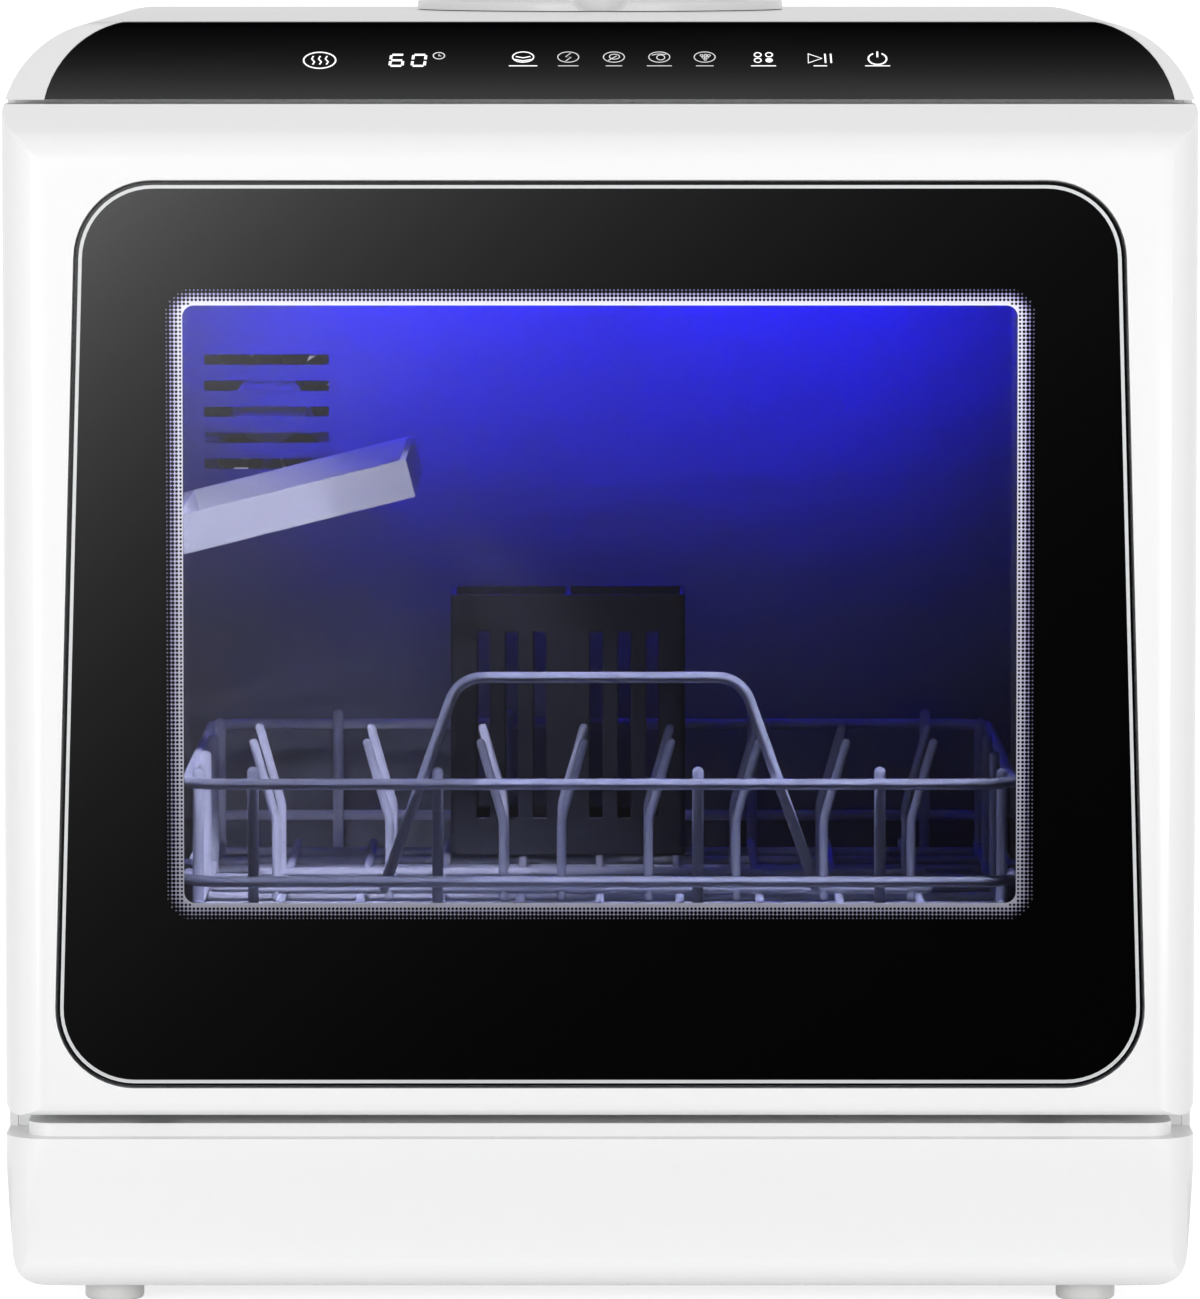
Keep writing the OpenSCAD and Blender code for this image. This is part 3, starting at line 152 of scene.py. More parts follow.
def makeMouldedSkin():
    group, source, out = newGroup("mouldedSkin", "ShaderNodeTree", [
        ("Vector", "NodeSocketVector", None), ("Colour", "NodeSocketColor", (0.8, 0.8, 0.8, 1)),
        ("Roughness", "NodeSocketFloat", 0.4), ("Grain Scale", "NodeSocketFloat", 900),
        ("Mottle", "NodeSocketFloat", 0.03), ("Cloud Scale", "NodeSocketFloat", 9),
        ("Roughness Swing", "NodeSocketFloat", 0.16)],
        [("Colour", "NodeSocketColor"), ("Roughness", "NodeSocketFloat"), ("Height", "NodeSocketFloat")])
    grain = addNode(group, "ShaderNodeTexNoise", values={"Detail": 3, "Roughness": 0.6},
                    wires={"Vector": source.outputs["Vector"], "Scale": source.outputs["Grain Scale"]})
    cloud = addNode(group, "ShaderNodeTexNoise", values={"Detail": 2},
                    wires={"Vector": source.outputs["Vector"], "Scale": source.outputs["Cloud Scale"]})
    swing = calc(group, "SUBTRACT", cloud.outputs["Fac"], 0.5)
    level = calc(group, "MULTIPLY_ADD", swing, source.outputs["Mottle"], 1)
    tinted = addNode(group, "ShaderNodeVectorMath", {"operation": "SCALE"},
                     wires={0: source.outputs["Colour"], "Scale": level})
    rough = calc(group, "MULTIPLY_ADD", swing, source.outputs["Roughness Swing"],
                 source.outputs["Roughness"])
    group.links.new(tinted.outputs[0], out.inputs["Colour"])
    group.links.new(rough, out.inputs["Roughness"])
    group.links.new(grain.outputs["Fac"], out.inputs["Height"])
    return group


def makeRolledSteel():
    group, source, out = newGroup("rolledSteel", "ShaderNodeTree", [
        ("Vector", "NodeSocketVector", None), ("Colour", "NodeSocketColor", (0.6, 0.6, 0.6, 1)),
        ("Roughness", "NodeSocketFloat", 0.35), ("Streaks", "NodeSocketFloat", 0.08)],
        [("Colour", "NodeSocketColor"), ("Roughness", "NodeSocketFloat"), ("Height", "NodeSocketFloat")])
    drawn = addNode(group, "ShaderNodeMapping", values={"Scale": (6, 260, 260)},
                    wires={"Vector": source.outputs["Vector"]})
    streak = addNode(group, "ShaderNodeTexNoise", values={"Scale": 3, "Detail": 4},
                     wires={"Vector": drawn.outputs[0]})
    swing = calc(group, "SUBTRACT", streak.outputs["Fac"], 0.5)
    level = calc(group, "MULTIPLY_ADD", swing, source.outputs["Streaks"], 1)
    tinted = addNode(group, "ShaderNodeVectorMath", {"operation": "SCALE"},
                     wires={0: source.outputs["Colour"], "Scale": level})
    rough = calc(group, "MULTIPLY_ADD", swing, 0.25, source.outputs["Roughness"])
    group.links.new(tinted.outputs[0], out.inputs["Colour"])
    group.links.new(rough, out.inputs["Roughness"])
    group.links.new(streak.outputs["Fac"], out.inputs["Height"])
    return group


def makeWipeMarks():
    group, source, out = newGroup("wipeMarks", "ShaderNodeTree", [
        ("Vector", "NodeSocketVector", None), ("Roughness", "NodeSocketFloat", 0.05),
        ("Strength", "NodeSocketFloat", 0.05)], [("Roughness", "NodeSocketFloat")])
    turned = addNode(group, "ShaderNodeMapping", values={"Rotation": (0, 0.5, 0), "Scale": (3, 3, 14)},
                     wires={"Vector": source.outputs["Vector"]})
    marks = addNode(group, "ShaderNodeTexNoise", values={"Scale": 2.2, "Detail": 5, "Roughness": 0.6},
                    wires={"Vector": turned.outputs[0]})
    faint = addNode(group, "ShaderNodeMapRange", values={"From Min": 0.5, "From Max": 0.75},
                    wires={"Value": marks.outputs["Fac"]})
    rough = calc(group, "MULTIPLY_ADD", faint.outputs[0], source.outputs["Strength"],
                 source.outputs["Roughness"])
    group.links.new(rough, out.inputs["Roughness"])
    return group


mouldedSkin = makeMouldedSkin()
rolledSteel = makeRolledSteel()
wipeMarks = makeWipeMarks()


# materials

def newMaterial(name, shader):
    material = bpy.data.materials.new(name)
    material.use_nodes = True
    tree = material.node_tree
    principled = tree.nodes["Principled BSDF"]
    for key, value in shader.items():
        principled.inputs[key].default_value = value
    place = addNode(tree, "ShaderNodeTexCoord").outputs["Object"]
    return material, tree, principled, place


def addEffect(tree, group, values, wires):
    effect = tree.nodes.new("ShaderNodeGroup")
    effect.node_tree = group
    for key, value in values.items():
        effect.inputs[key].default_value = value
    for key, source in wires.items():
        tree.links.new(source, effect.inputs[key])
    return effect


def addBump(tree, height, principled, strength, distance):
    bump = addNode(tree, "ShaderNodeBump", values={"Strength": strength, "Distance": distance},
                   wires={"Height": height})
    tree.links.new(bump.outputs[0], principled.inputs["Normal"])


def moulded(name, colour, roughness, grain=900, bump=0.15, mottle=0.03, swing=0.16, shader=None):
    material, tree, principled, place = newMaterial(name, shader or {})
    skin = addEffect(tree, mouldedSkin, {
        "Colour": (*colour, 1), "Roughness": roughness, "Mottle": mottle,
        "Grain Scale": grain, "Roughness Swing": swing}, {"Vector": place})
    tree.links.new(skin.outputs["Colour"], principled.inputs["Base Color"])
    tree.links.new(skin.outputs["Roughness"], principled.inputs["Roughness"])
    addBump(tree, skin.outputs["Height"], principled, bump, 0.0002)
    return material


def steel(name, colour, roughness, metallic=1.0, streaks=0.1, bump=0.1):
    material, tree, principled, place = newMaterial(name, {"Metallic": metallic})
    sheet = addEffect(tree, rolledSteel, {"Colour": (*colour, 1), "Roughness": roughness,
                      "Streaks": streaks}, {"Vector": place})
    tree.links.new(sheet.outputs["Colour"], principled.inputs["Base Color"])
    tree.links.new(sheet.outputs["Roughness"], principled.inputs["Roughness"])
    addBump(tree, sheet.outputs["Height"], principled, bump, 0.0001)
    return material


def glossBlack(name, colour, roughness):
    material, tree, principled, place = newMaterial(name, {"Base Color": (*colour, 1)})
    marks = addEffect(tree, wipeMarks, {"Roughness": roughness, "Strength": 0.05}, {"Vector": place})
    tree.links.new(marks.outputs[0], principled.inputs["Roughness"])
    return material


def clearGlass(name, tint):
    material, tree, principled, place = newMaterial(name, {
        "Base Color": (*tint, 1), "Transmission Weight": 1.0, "IOR": 1.46})
    marks = addEffect(tree, wipeMarks, {"Roughness": 0.0, "Strength": 0.03}, {"Vector": place})
    tree.links.new(marks.outputs[0], principled.inputs["Roughness"])
    return material


def glowing(name, colour, light, strength):
    material, tree, principled, place = newMaterial(name, {
        "Base Color": (*colour, 1), "Roughness": 0.4, "Emission Strength": strength})
    ripple = addNode(tree, "ShaderNodeTexNoise", values={"Scale": 160, "Detail": 1},
                     wires={"Vector": place})
    level = calc(tree, "MULTIPLY_ADD", ripple.outputs["Fac"], 0.2, 0.9)
    lit = addNode(tree, "ShaderNodeVectorMath", {"operation": "SCALE"}, wires={"Scale": level})
    lit.inputs[0].default_value = light
    tree.links.new(lit.outputs[0], principled.inputs["Emission Color"])
    return material


finishes = {
    "white_shell": moulded("whiteShell", (0.865, 0.865, 0.865), 0.3, 1100, 0.06, 0.004, 0.02),
    "white_inner": moulded("whiteInner", (0.78, 0.785, 0.8), 0.45, 900, 0.1),
    "panel_glass": glossBlack("panelGlass", (0.0015, 0.0015, 0.002), 0.05),
    "dark_glass": clearGlass("windowGlass", (0.5, 0.5, 0.56)),
    "black_print": moulded("blackPrint", (0.0015, 0.0015, 0.002), 0.6, 700, 0.05,
                          shader={"Specular IOR Level": 0.0}),
    "bright_line": steel("brightLine", (0.64, 0.65, 0.66), 0.42, 0.3),
    "chamber_steel": steel("chamberSteel", (0.2, 0.205, 0.23), 0.38),
    "coated_wire": moulded("coatedWire", (0.52, 0.54, 0.62), 0.33, 500, 0.1),
    "grey_plastic": moulded("greyPlastic", (0.2, 0.205, 0.215), 0.5),
    "dark_plastic": moulded("darkPlastic", (0.02, 0.021, 0.03), 0.42),
    "pale_plastic": moulded("palePlastic", (0.78, 0.79, 0.85), 0.42),
    "soft_rubber": moulded("softRubber", (0.02, 0.02, 0.022), 0.65, 600, 0.3),
    "foot_rubber": moulded("footRubber", (0.74, 0.74, 0.73), 0.5, 700, 0.3),
    "zinc": steel("zincPlate", (0.6, 0.6, 0.62), 0.35),
    "board": moulded("boardGreen", (0.01, 0.09, 0.03), 0.4, 400, 0.1, 0.2),
    "lamp_lens": glowing("lampLens", (0.3, 0.32, 0.9), (0.12, 0.12, 1.0), 6),
    "tank_plastic": moulded("tankMilky", (0.7, 0.73, 0.76), 0.4, 500, 0.1),
    "orange_plastic": moulded("orangePlastic", (0.7, 0.12, 0.02), 0.45),
}
for nodeName, nodeSlot in slotOf.items():
    nodes[nodeName].data.materials.clear()
    nodes[nodeName].data.materials.append(finishes[nodeSlot])
print("materials:", len(finishes))


# bevelled copies of the moulded parts

softEdges = {  # part: (bevel width in mm, segments)
    "outer_casing": (0.5, 3), "door_shell": (0.5, 3), "base_tray": (0.6, 3), "rear_cover": (0.5, 3),
    "front_frame": (0.5, 2), "touch_panel": (0.25, 2), "tank_lid": (0.4, 3), "rubber_feet": (0.4, 2),
    "cup_shelf": (1.0, 3), "cutlery_basket": (0.5, 2), "door_liner": (0.4, 2), "detergent_cup": (0.4, 2),
    "detergent_cover": (0.5, 2), "door_hook": (0.4, 2), "latch_housing": (0.5, 2),
    "lower_spray_arm": (1.2, 3), "upper_spray_arm": (1.2, 3), "filter_cup": (0.4, 2),
    "hinge_brackets": (0.5, 2), "chamber_lamp": (0.6, 2), "rack_glides": (0.5, 2),
    "lower_post": (0.6, 2), "upper_post": (0.6, 2), "inner_window": (0.5, 2),
}
bevelRule = {"merge": 0.02, "flat": 0.3, "edge": 32, "sharp": 50}  # millimetres, then degrees


def camel(nodeName):
    first, *rest = nodeName.split("_")
    return first + "".join(word.capitalize() for word in rest)


def softCopy(nodeName, width, segments):
    shape = bmesh.new()
    shape.from_mesh(nodes[nodeName].data)
    bmesh.ops.remove_doubles(shape, verts=shape.verts, dist=bevelRule["merge"] * mm)
    bmesh.ops.dissolve_limit(shape, angle_limit=math.radians(bevelRule["flat"]),
                             verts=shape.verts, edges=shape.edges)
    mesh = bpy.data.meshes.new(camel(nodeName))
    shape.to_mesh(mesh)
    shape.free()
    mesh.materials.clear()
    mesh.materials.append(finishes[slotOf[nodeName]])
    mesh.polygons.foreach_set("use_smooth", [True] * len(mesh.polygons))
    piece = bevelled(linked(camel(nodeName), mesh), width, segments, bevelRule["edge"])
    piece.data.set_sharp_from_angle(angle=math.radians(bevelRule["sharp"]))
    weighted = piece.modifiers.new("normals", "WEIGHTED_NORMAL")
    weighted.keep_sharp = True
    settled(piece)
    return given(piece, bodyOf[nodeName], [nodeName])


for nodeName, (width, segments) in softEdges.items():
    softCopy(nodeName, width, segments)
print("bevelled parts:", len(softEdges))


# wires of the rack, made by a node tree that rounds each path and gives it its thickness

railRadius = 2
rackLow, rackHigh = boxOf("rack_ends")
rack = {
    "railRadius": railRadius, "gridRadius": 1.6, "bend": 14,
    "half": rackHigh[0] - railRadius, "front": rackLow[1] + railRadius, "back": rackHigh[1] - railRadius,
    "low": 147, "high": 182, "floor": boxOf("front_tines")[0][2],
    "frontPosts": (-124, -58, 35, 100), "postInset": 3.7, "postFoot": rackLow[2], "postTop": rackHigh[2],
    "sidePosts": 4, "sidePostTop": boxOf("rack_sides")[1][2], "sidePostEnd": 20,
    "lanes": 10, "laneInset": 4,
    "crossWires": 8, "crossInset": 5, "crossReach": 2, "crossLevel": rackLow[2],
    "hoopTop": 220, "hoopFoot": 145, "hoopHalf": 42, "hoopBend": 12, "hoopLean": 19.6,
    "tineRows": (-113, -51), "tineStart": -14, "tinePitch": 31.6, "tineCount": 5,
    "leftTines": (-117, -76, -35), "tineHeight": 56, "tineLean": 16,
    "barStart": -124, "barReach": 6, "barLift": 2.9,
}


def makeWireTree():
    tree, source, out = newGroup("roundWire", "GeometryNodeTree", [
        ("Geometry", "NodeSocketGeometry", None), ("Wire Radius", "NodeSocketFloat", 0.002),
        ("Bend Radius", "NodeSocketFloat", 0.012), ("Bend Steps", "NodeSocketInt", 8),
        ("Sides", "NodeSocketInt", 16), ("Material", "NodeSocketMaterial", None)],
        [("Geometry", "NodeSocketGeometry")])
    curve = addNode(tree, "GeometryNodeMeshToCurve", wires={"Mesh": source.outputs["Geometry"]})
    bent = addNode(tree, "GeometryNodeFilletCurve", {"mode": "POLY"}, {"Limit Radius": True},
                   {"Curve": curve.outputs[0], "Radius": source.outputs["Bend Radius"],
                    "Count": source.outputs["Bend Steps"]})
    ring = addNode(tree, "GeometryNodeCurvePrimitiveCircle",
                   wires={"Resolution": source.outputs["Sides"], "Radius": source.outputs["Wire Radius"]})
    tube = addNode(tree, "GeometryNodeCurveToMesh", values={"Fill Caps": True},
                   wires={"Curve": bent.outputs[0], "Profile Curve": ring.outputs[0]})
    ends = addNode(tree, "GeometryNodeCurveEndpointSelection")
    ball = addNode(tree, "GeometryNodeMeshUVSphere", values={"Rings": 8},
                   wires={"Segments": source.outputs["Sides"], "Radius": source.outputs["Wire Radius"]})
    tips = addNode(tree, "GeometryNodeInstanceOnPoints",
                   wires={"Points": bent.outputs[0], "Selection": ends.outputs[0],
                          "Instance": ball.outputs[0]})
    both = addNode(tree, "GeometryNodeJoinGeometry")
    tree.links.new(tube.outputs[0], both.inputs[0])
    tree.links.new(tips.outputs[0], both.inputs[0])
    solid = addNode(tree, "GeometryNodeRealizeInstances", wires={0: both.outputs[0]})
    smooth = addNode(tree, "GeometryNodeSetShadeSmooth", wires={"Geometry": solid.outputs[0]})
    painted = addNode(tree, "GeometryNodeSetMaterial",
                      wires={"Geometry": smooth.outputs[0], "Material": source.outputs["Material"]})
    tree.links.new(painted.outputs[0], out.inputs[0])
    return tree


def grown(name, tree, source, values):  # a node tree run on a mesh, kept as a plain mesh
    piece = linked(name, source)
    modifier = piece.modifiers.new("grow", "NODES")
    modifier.node_group = tree
    for item in tree.interface.items_tree:
        if item.item_type == "SOCKET" and item.in_out == "INPUT" and item.name in values:
            modifier[item.identifier] = values[item.name]
    return settled(piece)


def pathMesh(name, paths):  # paths in millimetres; one that ends where it starts is closed
    verts, edges = [], []
    for path in paths:
        closed = path[0] == path[-1]
        points = path[:-1] if closed else path
        start = len(verts)
        verts += [tuple(c * mm for c in p) for p in points]
        edges += [(start + i, start + i + 1) for i in range(len(points) - 1)]
        if closed:
            edges.append((start + len(points) - 1, start))
    mesh = bpy.data.meshes.new(name)
    mesh.from_pydata(verts, edges, [])
    return mesh


def rackRails(r):
    paths = []
    for z in (r["low"], r["high"]):
        corners = [(-r["half"], r["front"], z), (r["half"], r["front"], z),
                   (r["half"], r["back"], z), (-r["half"], r["back"], z)]
        paths.append([*corners, corners[0]])
    return paths


def rackPosts(r):
    low = r["postFoot"]
    paths = []
    for x in r["frontPosts"]:
        for s, y in ((1, r["front"] + r["postInset"]), (-1, r["back"] - r["postInset"])):
            paths.append([(s * x, y, low), (s * x, y, r["postTop"])])
    first, last = r["front"] + r["sidePostEnd"], r["back"] - r["sidePostEnd"]
    for i in range(r["sidePosts"]):
        y = first + i * (last - first) / (r["sidePosts"] - 1)
        for s in (-1, 1):
            x = s * (r["half"] - r["postInset"])
            paths.append([(x, y, low), (x, y, r["sidePostTop"])])
    return paths


def rackHoop(r):
    y, lean = r["front"] + r["postInset"], math.radians(r["hoopLean"])
    low, top = r["hoopFoot"], r["hoopTop"]
    # the straight lines cross at reach
    reach = r["hoopHalf"] + r["hoopBend"] * math.tan((math.pi / 2 - lean) / 2)
    foot = reach + (top - low) * math.tan(lean)
    return [[(-foot, y, low), (-reach, y, top), (reach, y, top), (foot, y, low)]]


def rackFloor(r):
    end = r["half"] - r["laneInset"]
    y0, y1 = r["front"] + r["laneInset"], r["back"] - r["laneInset"]
    paths = []
    for i in range(r["lanes"] + 1):
        x = -end + i * 2 * end / r["lanes"]
        paths.append([(x, y0, r["floor"]), (x, y1, r["floor"])])
    first, last, reach = y0 + r["crossInset"], y1 - r["crossInset"], end + r["crossReach"]
    for i in range(r["crossWires"]):
        y = first + i * (last - first) / (r["crossWires"] - 1)
        paths.append([(-reach, y, r["crossLevel"]), (reach, y, r["crossLevel"])])
    return paths


def rackTines(r):
    knee = r["tineHeight"] / 2
    slide = knee * math.tan(math.radians(r["tineLean"]))
    paths = []
    for y in r["tineRows"]:
        feet = [(r["tineStart"] + i * r["tinePitch"], 1) for i in range(r["tineCount"])]
        feet += [(x, -1) for x in r["leftTines"]]
        for x, s in feet:
            z = r["floor"]
            paths.append([(x, y, z), (x, y, z + knee), (x + s * slide, y, z + 2 * knee)])
        right = r["tineStart"] + (r["tineCount"] - 1) * r["tinePitch"] + r["barReach"]
        level = r["floor"] + r["barLift"]
        paths.append([(r["barStart"], y, level), (right, y, level)])
    return paths


wireTree = makeWireTree()
wireRuns = {  # piece: (paths, wire radius, bend radius, nodes it stands for)
    "rackRails": (rackRails(rack) + rackPosts(rack), rack["railRadius"], rack["bend"],
                  ["rack_ends", "rack_sides"]),
    "rackHoop": (rackHoop(rack), rack["railRadius"], rack["hoopBend"], ["rack_hoop"]),
    "rackFloor": (rackFloor(rack), rack["gridRadius"], 1, ["rack_floor"]),
    "rackTines": (rackTines(rack), rack["gridRadius"], 14, ["front_tines", "rear_tines"]),
}
for pieceName, (paths, radius, bend, stoodFor) in wireRuns.items():
    piece = grown(pieceName, wireTree, pathMesh(pieceName, paths), {
        "Wire Radius": radius * mm, "Bend Radius": bend * mm, "Bend Steps": 8, "Sides": 16,
        "Material": finishes["coated_wire"]})
    given(piece, "rack", stoodFor)
print("rack wires:", len(wireRuns))


# outlines in millimetres, as loops with the same number of points

def roundedLoop(corners, radius, steps):
    loop = []
    count = len(corners)
    for i, corner in enumerate(corners):
        p = Vector(corner)
        back = (Vector(corners[i - 1]) - p).normalized()
        ahead = (Vector(corners[(i + 1) % count]) - p).normalized()
        half = back.angle(ahead) / 2
        centre = p + (back + ahead).normalized() * radius / math.sin(half)
        first = p + back * radius / math.tan(half) - centre
        last = p + ahead * radius / math.tan(half) - centre
        turn = first.angle_signed(last)
        for k in range(steps + 1):
            loop.append(centre + Matrix.Rotation(-turn * k / steps, 2) @ first)
    return loop


def plateMesh(name, loops, y0, y1, material):  # a flat ring or rings of loops, closed, y0 in front
    count = len(loops[0])
    verts, faces = [], []
    for y in (y0, y1):
        for loop in loops:
            verts += [Vector((p[0], y, p[1])) * mm for p in loop]
    rows = len(loops)
    for k in range(rows - 1):
        for i in range(count):
            j = (i + 1) % count
            a, b = k * count, (k + 1) * count
            faces.append((a + i, a + j, b + j, b + i))
            a, b = a + rows * count, b + rows * count
            faces.append((a + i, b + i, b + j, a + j))
    for k in (0, rows - 1):
        for i in range(count):
            j = (i + 1) % count
            a, b = k * count, (k + rows) * count
            faces.append((a + i, b + i, b + j, a + j) if k == 0 else (a + i, a + j, b + j, b + i))
    return facingOut(meshOf(name, verts, faces, material))


# the door's pane, its black print, the round dots that fade the print out, and a painted glow round the
# window

glassInset = 0.4  # from the opening in the door to the edge of the glass
glassLow, glassHigh = boxOf("door_glass")
glassBack = glassHigh[1]
pane = {
    # half widths of the opening at its foot and its head, then its levels
    "low": 192.4, "high": 183.4, "z0": glassLow[2] - glassInset, "z1": glassHigh[2] + glassInset,
    "corner": 28, "cornerSteps": 16, "edge": 0.4, "front": glassLow[1], "back": glassBack,
    "windowHalf": 146.2, "windowLow": 145.3, "windowHigh": 355.5, "windowCorner": 4,
    "band": 6.2, "printInset": 0.8, "printFront": glassBack - 0.35, "printBack": glassBack - 0.2,
    # the glow keys place the painted glow's sheet and give its strength at the window's foot
    "glowFront": glassBack - 0.16, "glowBack": glassBack - 0.06, "glowLow": 0.14,
    "glowGrows": (0, 0.5, 1.2, 2, 3, 4, 5, 6.3),
    "dotPitch": 1.4, "smallDot": 0.44, "largeDot": 0.86, "dotDepth": 0.1, "dotStart": 1, "dotSlack": 0.6,
}


def paneLoop(inset):
    a, b, z0, z1 = pane["low"] - inset, pane["high"] - inset, pane["z0"] + inset, pane["z1"] - inset
    return roundedLoop([(-a, z0), (a, z0), (b, z1), (-b, z1)], pane["corner"] - inset,
                       pane["cornerSteps"])


def windowLoop(grow):
    a, z0, z1 = pane["windowHalf"] + grow, pane["windowLow"] - grow, pane["windowHigh"] + grow
    return roundedLoop([(-a, z0), (a, z0), (a, z1), (-a, z1)], pane["windowCorner"] + grow,
                       pane["cornerSteps"])


def makeDotTree():
    tree, source, out = newGroup("dotBand", "GeometryNodeTree", [
        ("Geometry", "NodeSocketGeometry", None), ("Half Width", "NodeSocketFloat", 0.146),
        ("Half Height", "NodeSocketFloat", 0.105), ("Corner", "NodeSocketFloat", 0.004),
        ("Pitch", "NodeSocketFloat", 0.00144), ("Band", "NodeSocketFloat", 0.006),
        ("Small Dot", "NodeSocketFloat", 0.0003), ("Large Dot", "NodeSocketFloat", 0.0007),
        ("Depth", "NodeSocketFloat", 0.0001), ("Place", "NodeSocketVector", (0, 0, 0)),
        ("Material", "NodeSocketMaterial", None)], [("Geometry", "NodeSocketGeometry")])
    g = source.outputs
    across = calc(tree, "ADD", g["Half Width"], g["Band"])
    upward = calc(tree, "ADD", g["Half Height"], g["Band"])
    columns = calc(tree, "ROUND", calc(tree, "DIVIDE", calc(tree, "MULTIPLY", across, 2), g["Pitch"]))
    rows = calc(tree, "ROUND", calc(tree, "DIVIDE", calc(tree, "MULTIPLY", upward, 2), g["Pitch"]))
    grid = addNode(tree, "GeometryNodeMeshGrid", wires={
        "Size X": calc(tree, "MULTIPLY", columns, g["Pitch"]),
        "Size Y": calc(tree, "MULTIPLY", rows, g["Pitch"]),
        "Vertices X": calc(tree, "ADD", columns, 1), "Vertices Y": calc(tree, "ADD", rows, 1)})
    point = addNode(tree, "GeometryNodeInputPosition").outputs[0]
    spot = addNode(tree, "ShaderNodeSeparateXYZ", wires={0: point})
    insideX = calc(tree, "SUBTRACT", g["Half Width"], g["Corner"])
    insideY = calc(tree, "SUBTRACT", g["Half Height"], g["Corner"])
    qx = calc(tree, "SUBTRACT", calc(tree, "ABSOLUTE", spot.outputs[0]), insideX)
    qy = calc(tree, "SUBTRACT", calc(tree, "ABSOLUTE", spot.outputs[1]), insideY)
    outX, outY = calc(tree, "MAXIMUM", qx, 0), calc(tree, "MAXIMUM", qy, 0)
    far = calc(tree, "SQRT", calc(tree, "ADD", calc(tree, "MULTIPLY", outX, outX),
                                  calc(tree, "MULTIPLY", outY, outY)))
    away = calc(tree, "SUBTRACT", far, g["Corner"])
    near = calc(tree, "LESS_THAN", away, calc(tree, "MULTIPLY", g["Pitch"], 0.5))
    beyond = calc(tree, "GREATER_THAN", away, calc(tree, "ADD", g["Band"], pane["dotSlack"] * mm))
    kept = addNode(tree, "GeometryNodeDeleteGeometry", {"domain": "POINT"}, wires={
        "Geometry": grid.outputs["Mesh"], "Selection": calc(tree, "MAXIMUM", near, beyond)})
    share = addNode(tree, "ShaderNodeMapRange", values={"From Min": pane["dotStart"] * mm},
                    wires={"Value": away, "From Max": g["Band"], "To Min": g["Small Dot"],
                           "To Max": g["Large Dot"]})
    dot = addNode(tree, "GeometryNodeMeshCylinder", values={"Vertices": 8, "Radius": 1.0, "Depth": 1.0})
    size = addNode(tree, "ShaderNodeCombineXYZ",
                   wires={0: share.outputs[0], 1: share.outputs[0], 2: g["Depth"]})
    dots = addNode(tree, "GeometryNodeInstanceOnPoints", wires={
        "Points": kept.outputs[0], "Instance": dot.outputs[0], "Scale": size.outputs[0]})
    upright = addNode(tree, "GeometryNodeTransform", values={"Rotation": (math.pi / 2, 0, 0)},
                      wires={"Geometry": dots.outputs[0], "Translation": g["Place"]})
    solid = addNode(tree, "GeometryNodeRealizeInstances", wires={0: upright.outputs[0]})
    painted = addNode(tree, "GeometryNodeSetMaterial",
                      wires={"Geometry": solid.outputs[0], "Material": g["Material"]})
    tree.links.new(painted.outputs[0], out.inputs[0])
    return tree


# painted light: a thin emitting sheet behind the print stands in for the chamber lamp's light showing
# through round the window, white at the window's edge and fading out across the band
def makePaintedGlowMaterial():
    material, tree, principled, place = newMaterial("windowGlow", {
        "Base Color": (0.7, 0.7, 0.8, 1), "Roughness": 0.6})
    across = addNode(tree, "ShaderNodeUVMap", {"uv_map": "band"})
    split = addNode(tree, "ShaderNodeSeparateXYZ", wires={0: across.outputs[0]})
    height = addNode(tree, "ShaderNodeSeparateXYZ", wires={0: place}).outputs[2]
    # painted glow, stronger towards the top of the window, where the chamber lamp sits
    level = addNode(tree, "ShaderNodeMapRange", wires={"Value": height}, values={
        "From Min": pane["windowLow"] * mm, "From Max": pane["windowHigh"] * mm,
        "To Min": pane["glowLow"], "To Max": 1.0})
    stops = [(0.0, (1.0, 1.0, 1.0, 1)), (0.3, (0.9, 0.88, 1.0, 1)), (0.6, (0.5, 0.45, 0.85, 1)),
             (0.82, (0.16, 0.13, 0.42, 1)), (1.0, (0.01, 0.01, 0.03, 1))]
    tree.links.new(addRamp(tree, split.outputs[1], stops), principled.inputs["Emission Color"])
    tree.links.new(level.outputs[0], principled.inputs["Emission Strength"])
    return material


def solidPlate(name, loop, y0, y1, material, edge):  # a full plate with a small bevel round it
    count = len(loop)
    verts = [Vector((p[0], y, p[1])) * mm for y in (y0, y1) for p in loop]
    faces = [tuple(range(count)), tuple(range(2 * count - 1, count - 1, -1))]
    faces += [(i, i + count, (i + 1) % count + count, (i + 1) % count) for i in range(count)]
    piece = linked(name, facingOut(meshOf(name, verts, faces, material)))
    return bevelled(piece, edge, 2, bevelRule["sharp"])


doorGlass = solidPlate("doorGlass", paneLoop(glassInset), pane["front"], pane["back"],
                       finishes["dark_glass"], pane["edge"])
given(doorGlass, "door", ["door_glass"])
printLoops = [paneLoop(pane["printInset"]), windowLoop(pane["band"])]
glassPrint = linked("glassPrint", plateMesh("glassPrint", printLoops, pane["printFront"],
                                            pane["printBack"], finishes["black_print"]))
given(glassPrint, "door", ["glass_mask"])
middleZ = (pane["windowLow"] + pane["windowHigh"]) / 2
halfHeight = (pane["windowHigh"] - pane["windowLow"]) / 2
printDots = grown("printDots", makeDotTree(), bpy.data.meshes.new("printDots"), {
    "Half Width": pane["windowHalf"] * mm, "Half Height": halfHeight * mm,
    "Corner": pane["windowCorner"] * mm, "Pitch": pane["dotPitch"] * mm, "Band": pane["band"] * mm,
    "Small Dot": pane["smallDot"] * mm, "Large Dot": pane["largeDot"] * mm,
    "Depth": pane["dotDepth"] * mm, "Material": finishes["black_print"],
    "Place": (0, (pane["printFront"] + pane["dotDepth"] / 2) * mm, middleZ * mm)})
given(printDots, "door")
